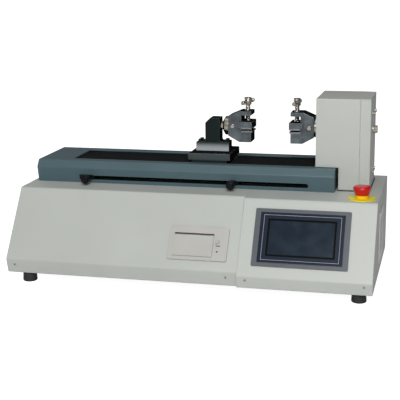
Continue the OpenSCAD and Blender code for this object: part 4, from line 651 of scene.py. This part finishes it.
def disc(radius, height, place):
    """A low disc with rounded edges that stands on a panel"""
    rest_selection()
    bpy.ops.mesh.primitive_cylinder_add(vertices=DISC_SIDES, radius=radius, depth=height,
                                        location=(0, 0, height / 2))
    piece = bpy.context.object
    apply_transform(piece, location=True)
    soften(piece, height * DISC_ROUND, SHARP_ANGLE)
    piece.matrix_world = place
    return piece


def cube(low, high):
    """A block between two corners"""
    rest_selection()
    low, high = Vector(low), Vector(high)
    bpy.ops.mesh.primitive_cube_add(size=1.0, location=(low + high) / 2)
    piece = bpy.context.object
    piece.scale = high - low
    apply_transform(piece, location=True, scale=True)
    return piece


def ridged_sheet(low, high, pitch, depth, thickness):
    """A sheet at the top of a box, folded across X, with its long edges turned down"""
    low, high = Vector(low), Vector(high)
    pleats = max(2, round((high.x - low.x) / pitch))
    rest_selection()
    bpy.ops.mesh.primitive_grid_add(x_subdivisions=2 * pleats, y_subdivisions=SHEET_ROWS, size=1.0)
    piece = bpy.context.object
    piece.scale = (high.x - low.x, high.y - low.y, 1.0)
    piece.location = ((low.x + high.x) / 2, (low.y + high.y) / 2, high.z)
    apply_transform(piece, location=True, scale=True)
    half = (high.x - low.x) / (2 * pleats)
    edit(piece)
    pick("VERT", lambda v: round((v.co.x - low.x) / half) % 2 == 0)
    bpy.ops.transform.translate(value=(0, 0, -depth))
    pick("EDGE", lambda e: all(
        min(abs(piece.data.vertices[i].co.y - y) for y in (low.y, high.y)) < MERGE for i in e.vertices))
    push(bpy.ops.mesh.extrude_edges_move, z=-(high.z - low.z - depth))
    rest_selection()
    apply_modifier(piece, "SOLIDIFY", thickness=thickness, offset=-1.0, use_even_offset=False)
    return piece


def threaded_rod(x, y, z0, z1, radius, depth, pitch):
    """A solid threaded rod along Z: one turn's profile, screwed up, cut off and capped"""
    rest_selection()
    bpy.ops.mesh.primitive_plane_add(size=1.0)
    piece = bpy.context.object
    edit(piece)
    bpy.ops.mesh.select_mode(type="VERT")
    bpy.ops.mesh.select_all(action="SELECT")
    bpy.ops.mesh.merge(type="CENTER")
    bpy.ops.transform.translate(value=(radius - depth, 0, 0))
    for out, rise in ((depth, THREAD_FLANK), (0.0, THREAD_CREST), (-depth, THREAD_FLANK)):
        push(bpy.ops.mesh.extrude_vertices_move, x=out, z=rise * pitch)
    turns = math.ceil((z1 - z0) / pitch) + THREAD_SPARE
    apply_modifier(piece, "SCREW", axis="Z", angle=math.tau, screw_offset=pitch, iterations=turns,
                   steps=THREAD_STEPS, render_steps=THREAD_STEPS, use_merge_vertices=True,
                   merge_threshold=CUT_MERGE)
    start = THREAD_START * pitch
    edit(piece)
    cut(start, above=True)
    cut(start + z1 - z0, above=False)
    rest_selection()
    piece.location = (x, y, z0 - start)
    apply_transform(piece, location=True)
    return piece


def cut_copy(node, height, above):
    """A copy of a construction node's part above or below a height"""
    take(frame["nodes"][node])
    bpy.ops.object.duplicate()
    piece = bpy.context.object
    del piece["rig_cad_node"]
    piece.parent = None
    edit(piece)
    bpy.ops.mesh.remove_doubles(threshold=CUT_MERGE)
    cut(height, above)
    rest_selection()
    return piece


def cap_screw(radius, height, socket):
    """A socket head cap screw's head that stands on the origin, with a hexagon socket"""
    rest_selection()
    bpy.ops.mesh.primitive_circle_add(vertices=6, radius=socket, fill_type="NOTHING", location=(0, 0, height))
    piece = bpy.context.object
    apply_transform(piece, location=True)
    edit(piece)
    bpy.ops.mesh.subdivide(number_cuts=SOCKET_CUTS)
    bpy.ops.mesh.select_all(action="SELECT")
    push(bpy.ops.mesh.extrude_edges_move)
    bpy.ops.transform.tosphere(value=1.0)
    rim = selected_vertices()
    grow = radius / (sum(v.co.xy.length for v in rim) / len(rim))
    bpy.ops.transform.resize(value=(grow, grow, 1.0))
    push(bpy.ops.mesh.extrude_edges_move, z=-height)
    bpy.ops.mesh.edge_face_add()
    pick("VERT", lambda v: v.co.xy.length < socket * SOCKET_REACH)
    bpy.ops.mesh.select_mode(type="EDGE")
    push(bpy.ops.mesh.extrude_edges_move, z=-height * SOCKET_DEPTH)
    bpy.ops.mesh.edge_face_add()
    rest_selection()
    soften(piece, radius * CAP_ROUND, SHARP_ANGLE)
    return piece


# The studio


def studio_world():
    """A white horizon under a studio that is dim above, darker behind and darkest at the right"""
    world = bpy.data.worlds.new("studio")
    world.use_nodes = True
    tree = world.node_tree
    split = add_node(tree, "SeparateXYZ", {"Vector": add_node(tree, "TexCoord", {}).outputs["Generated"]})

    def blended(axis, low, high, first, second):
        return mixed(tree, remap(tree, split.outputs[axis], (low, high)), first, second)

    above = blended("X", -0.2, 0.9, blended("Y", -0.6, 0.5, SKY_FRONT, SKY_BACK), SKY_RIGHT)
    sky = tree.nodes["Background"].inputs
    feed(tree, blended("Z", -0.02, 0.03, SKY_BELOW, above), sky["Color"])
    feed(tree, 1.0, sky["Strength"])
    return world


def add_light(scene, name, place, size, power):
    """A square light that shines at the machine"""
    lamp = bpy.data.lights.new(name, "AREA")
    lamp.size = size
    lamp.energy = power
    holder = bpy.data.objects.new(name, lamp)
    scene.collection.objects.link(holder)
    holder.location = place
    holder.rotation_mode = "QUATERNION"
    holder.rotation_quaternion = (Vector(LIGHT_AIM) - Vector(place)).to_track_quat("-Z", "Y")


def add_camera(scene):
    """The photograph's camera"""
    camera = bpy.data.cameras.new("camera")
    camera.lens = CAMERA_LENS
    camera.sensor_width = CAMERA_SENSOR
    camera.clip_end = CAMERA_REACH
    holder = bpy.data.objects.new("camera", camera)
    scene.collection.objects.link(holder)
    azimuth, elevation, roll = (math.radians(v) for v in (CAMERA_AZIMUTH, CAMERA_ELEVATION, CAMERA_ROLL))
    back = Vector((math.sin(azimuth) * math.cos(elevation), -math.cos(azimuth) * math.cos(elevation),
                   math.sin(elevation)))
    level = Vector((0, 0, 1)).cross(back).normalized()
    rise = back.cross(level)
    right = math.cos(roll) * level + math.sin(roll) * rise
    up = -math.sin(roll) * level + math.cos(roll) * rise
    holder.matrix_world = axes_at(right, up, back, Vector(CAMERA_AIM) + back * CAMERA_DISTANCE)
    scene.camera = holder


def run(operator):
    """Runs one of the add-on's operators and raises if it doesn't finish"""
    if operator() != {"FINISHED"}:
        raise RuntimeError("an operator of the tensile tester did not finish")


class TESTER_OT_finishes(bpy.types.Operator):
    """Makes the procedural finishes of every material slot"""

    bl_idname = "tester.finishes"
    bl_label = "Finishes"

    def execute(self, context):
        FINISHES.update(finishes(context.scene.tester_colours))
        return {"FINISHED"}


class TESTER_OT_cabinet(bpy.types.Operator):
    """Finishes the cabinet, the console and what is under them, at their back and at their side"""

    bl_idname = "tester.cabinet"
    bl_label = "Cabinet"

    def execute(self, context):
        dress("cabinet_shell", "console_housing", "rear_panel", "base_plate", "rubber_feet", "power_inlet",
              "switch_rocker", "electronics")
        dress("side_vent_plate", look="vent_metal")
        dress("case_screws", look="screw_metal")
        return {"FINISHED"}


class TESTER_OT_rail(bpy.types.Operator):
    """Finishes the rail and its travel stops and lines the stops' slot with black"""

    bl_idname = "tester.rail"
    bl_label = "Rail and travel stops"

    # Finishes the rail and its travel stops, and lays a black trim round the stops' slot and a black sleeve in
    # it: painted shade
    def execute(self, context):
        s = context.scene.tester_sizes
        dress("rail_housing", "rail_bed", "guide_rails", "left_stop", "right_stop")
        dress("left_stop_knob", "right_stop_knob", look="knob_gloss")
        place = slot_frame()
        centres = (SLOT_X[0] + s.slot_half, SLOT_X[1] - s.slot_half)
        half = s.slot_half - s.shade_sleeve
        # Painted shade: a black trim on the rail's face round the slot and a black sleeve on its inside walls
        shade_trim = slot_ring(centres, half, s.slot_shade_trim_width, SLOT_SHADE_TRIM_HEIGHT, place)
        settle(shade_trim, "slot_shade_trim", "slot_black", "base")
        within = place @ Matrix.Translation((0, 0, -s.rail_wall))
        shade_sleeve = slot_ring(centres, half, s.shade_sleeve, s.rail_wall, within)
        settle(shade_sleeve, "slot_shade_sleeve", "slot_black", "base")
        return {"FINISHED"}


class TESTER_OT_drive(bpy.types.Operator):
    """Finishes the ball screw, its supports, the belt drive and the motor under the covers"""

    bl_idname = "tester.drive"
    bl_label = "Drive"

    def execute(self, context):
        dress("ball_screw", "ball_nut", "guide_blocks", "screw_supports", "screw_pulley", "motor_pulley",
              "drive_belt", "drive_motor")
        return {"FINISHED"}


class TESTER_OT_bellows(bpy.types.Operator):
    """Models the two pleated bellows between the carriage and the ends of the rail"""

    bl_idname = "tester.bellows"
    bl_label = "Bellows"

    def execute(self, context):
        s = context.scene.tester_sizes
        for side, sign in (("left", 1), ("right", -1)):
            node = "bellows_" + side
            low, high = (Vector(corner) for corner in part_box(node))
            fixed, moving = (low.x, high.x) if sign > 0 else (high.x, low.x)
            for body, x, inward in (("base", fixed, sign), ("carriage", moving, -sign)):
                x0, x1 = sorted((x, x + inward * s.clamp_strip))
                strip = cube((x0, low.y, high.z - s.strip_bottom), (x1, high.y, high.z - s.strip_top))
                soften(strip, s.strip_round)
                settle(strip, f"{node}_strip_{body}", "black_metal", body)
            clear = s.clamp_strip * s.strip_clear
            inner = [fixed + sign * clear, moving - sign * clear]
            piece = ridged_sheet((min(inner), low.y + s.side_gap, low.z + s.lower_gap),
                                 (max(inner), high.y - s.side_gap, high.z - s.upper_gap),
                                 s.pleat_pitch, s.pleat_depth, s.fabric)
            settle(piece, node + "_pleats", "bellows_rubber", None, PLEAT_ANGLE)
            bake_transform(piece)
            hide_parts(node)
        return {"FINISHED"}


class TESTER_OT_carriage(bpy.types.Operator):
    """Finishes the carriage plate and the grip bracket and adds their cap screws"""

    bl_idname = "tester.carriage"
    bl_label = "Carriage"

    def execute(self, context):
        s = context.scene.tester_sizes
        dress("carriage_plate")
        dress("grip_bracket", look="bracket_metal")
        low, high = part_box("grip_bracket")
        head = settle(cap_screw(s.cap_radius, s.cap_height, s.socket_radius), "foot_cap_screw_0",
                      "black_metal", None)
        spots = [(x, y, low.z + s.foot_height) for x in (low.x + s.cap_inset, high.x - s.cap_inset)
                 for y in (low.y + s.cap_inset, high.y - s.cap_inset)]
        for index, spot in enumerate(spots[1:], 1):
            twin(head, f"foot_cap_screw_{index}", Matrix.Translation(spot), "carriage")
        head.data.transform(Matrix.Translation(spots[0]))
        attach(head, "carriage")
        return {"FINISHED"}


class TESTER_OT_grips(bpy.types.Operator):
    """Finishes the two screw grips and models the threads of their screws"""

    bl_idname = "tester.grips"
    bl_label = "Grips"

    def execute(self, context):
        s = context.scene.tester_sizes
        dress("left_stud", "left_collar", "load_shaft")
        for side in ("left", "right"):
            node = f"{side}_grip_screw"
            dress(node, *(f"{side}_{part}" for part in ("grip_body", "jaw", "tommy_bar", "grip_pin")))
            dress(*(f"{side}_{part}" for part in ("lower_pad", "upper_pad")), look="pad_steel")
            low, high = (Vector(corner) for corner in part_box(node))
            shoulder, collar = high.z - s.head_height, low.z + s.tip_height
            middle = (low + high) / 2
            pieces = [cut_copy(node, shoulder, above=True), cut_copy(node, collar, above=False),
                      threaded_rod(middle.x, middle.y, collar - s.lap, shoulder + s.lap, s.screw_radius,
                                   s.thread_depth, s.thread_pitch)]
            rest_selection()
            for piece in pieces:
                piece.select_set(True)
            context.view_layer.objects.active = pieces[0]
            bpy.ops.object.join()
            screw = settle(pieces[0], f"{side}_threaded_screw", "bright_steel", f"{side}_screw")
            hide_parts(node)
        return {"FINISHED"}


class TESTER_OT_column(bpy.types.Operator):
    """Finishes the load column, its side cover, the load cell and its frame"""

    bl_idname = "tester.column"
    bl_label = "Load column"

    def execute(self, context):
        dress("column_cover", "column_side_cover", "load_cell", "load_cell_frame")
        return {"FINISHED"}


class TESTER_OT_display(bpy.types.Operator):
    """Finishes the display's frame and screen and lays the border, its line and the gasket on it"""

    bl_idname = "tester.display"
    bl_label = "Display"

    def execute(self, context):
        s = context.scene.tester_sizes
        dress("display_bezel", "display_glass")
        place, half = face_frame("display_bezel")
        glass = face_frame("display_glass")[1]
        opening = [size + s.layer for size in glass]
        screen = [size - s.gasket_width for size in glass]

        def inset(across, further=0.0):
            return half[0] - (across + further), half[1] - (across * s.upright + further)

        layers = (
            ("display_mask", "display_mask", inset(s.mask_inset), opening, 0.0, s.layer),
            ("display_line", "display_line", inset(s.line_inset), inset(s.line_inset, s.line_width),
             s.layer, LINE_RISE * s.layer),
            ("display_gasket", "slot_black", opening, screen, -GASKET_SINK * s.layer, GASKET_RISE * s.layer))
        for name, look, outer, inner, low, high in layers:
            settle(ring(outer, inner, low, high, place), name, look, "base")
        return {"FINISHED"}


class TESTER_OT_printer(bpy.types.Operator):
    """Finishes the panel printer and adds its lamp and the slit beside it"""

    bl_idname = "tester.printer"
    bl_label = "Printer"

    def execute(self, context):
        s = context.scene.tester_sizes
        dress("printer_frame", "printer_door", "feed_button", "paper_roll")
        place = face_frame("printer_frame")[0]
        lamp = disc(s.led_radius, s.led_height, place @ Matrix.Translation((s.led_x, s.led_y, 0)))
        settle(lamp, "printer_lamp", "lamp", "base")
        slit = cube((s.led_x + s.slit_left, s.led_y + s.slit_low, 0.0),
                    (s.led_x + s.slit_right, s.led_y + s.slit_high, s.layer))
        slit.matrix_world = place @ slit.matrix_world
        settle(slit, "printer_slit", "black_plastic", "base")
        return {"FINISHED"}


class TESTER_OT_stop_button(bpy.types.Operator):
    """Finishes the stop button on its yellow disc"""

    bl_idname = "tester.stop_button"
    bl_label = "Stop button"

    def execute(self, context):
        dress("stop_disc", "stop_collar", "stop_stem", "stop_head")
        return {"FINISHED"}


class TESTER_OT_stage(bpy.types.Operator):
    """Sets the pale floor, the soft studio light and the photograph's camera"""

    bl_idname = "tester.stage"
    bl_label = "Stage"

    def execute(self, context):
        rest_selection()
        bpy.ops.mesh.primitive_plane_add(size=FLOOR_SIZE, location=(0, 0, 0))
        floor = context.object
        floor.name = "floor"
        floor.data.materials.append(FINISHES["floor"])
        context.scene.world = studio_world()
        context.scene.view_settings.view_transform = "Standard"
        for name, (place, size, power) in LIGHTS.items():
            add_light(context.scene, name, place, size, power)
        add_camera(context.scene)
        return {"FINISHED"}


class TESTER_PT_panel(bpy.types.Panel):
    """Panel of the tensile tester in the 3D view's sidebar"""

    bl_idname = "TESTER_PT_panel"
    bl_label = "Tensile Tester"
    bl_space_type = "VIEW_3D"
    bl_region_type = "UI"
    bl_category = "Tensile Tester"

    def draw(self, context):
        for operator in OPERATORS:
            self.layout.operator(operator.bl_idname)
        for group in (context.scene.tester_sizes, context.scene.tester_colours):
            box = self.layout.box()
            for name in group.bl_rna.properties.keys():
                if name not in {"rna_type", "name"}:
                    box.prop(group, name)


OPERATORS = (TESTER_OT_finishes, TESTER_OT_cabinet, TESTER_OT_rail, TESTER_OT_drive, TESTER_OT_bellows,
             TESTER_OT_carriage, TESTER_OT_grips, TESTER_OT_column, TESTER_OT_display, TESTER_OT_printer,
             TESTER_OT_stop_button, TESTER_OT_stage)
CLASSES = (TesterSizes, TesterColours, *OPERATORS, TESTER_PT_panel)


def register():
    for made in CLASSES:
        bpy.utils.register_class(made)
    bpy.types.Scene.tester_sizes = bpy.props.PointerProperty(type=TesterSizes)
    bpy.types.Scene.tester_colours = bpy.props.PointerProperty(type=TesterColours)


def unregister():
    del bpy.types.Scene.tester_colours
    del bpy.types.Scene.tester_sizes
    for made in reversed(CLASSES):
        bpy.utils.unregister_class(made)


def main():
    register()
    for name in ("finishes", "cabinet", "rail", "drive", "bellows", "carriage", "grips", "column", "display",
                 "printer", "stop_button", "stage"):
        run(getattr(bpy.ops.tester, name))


if __name__ == "__main__":
    main()
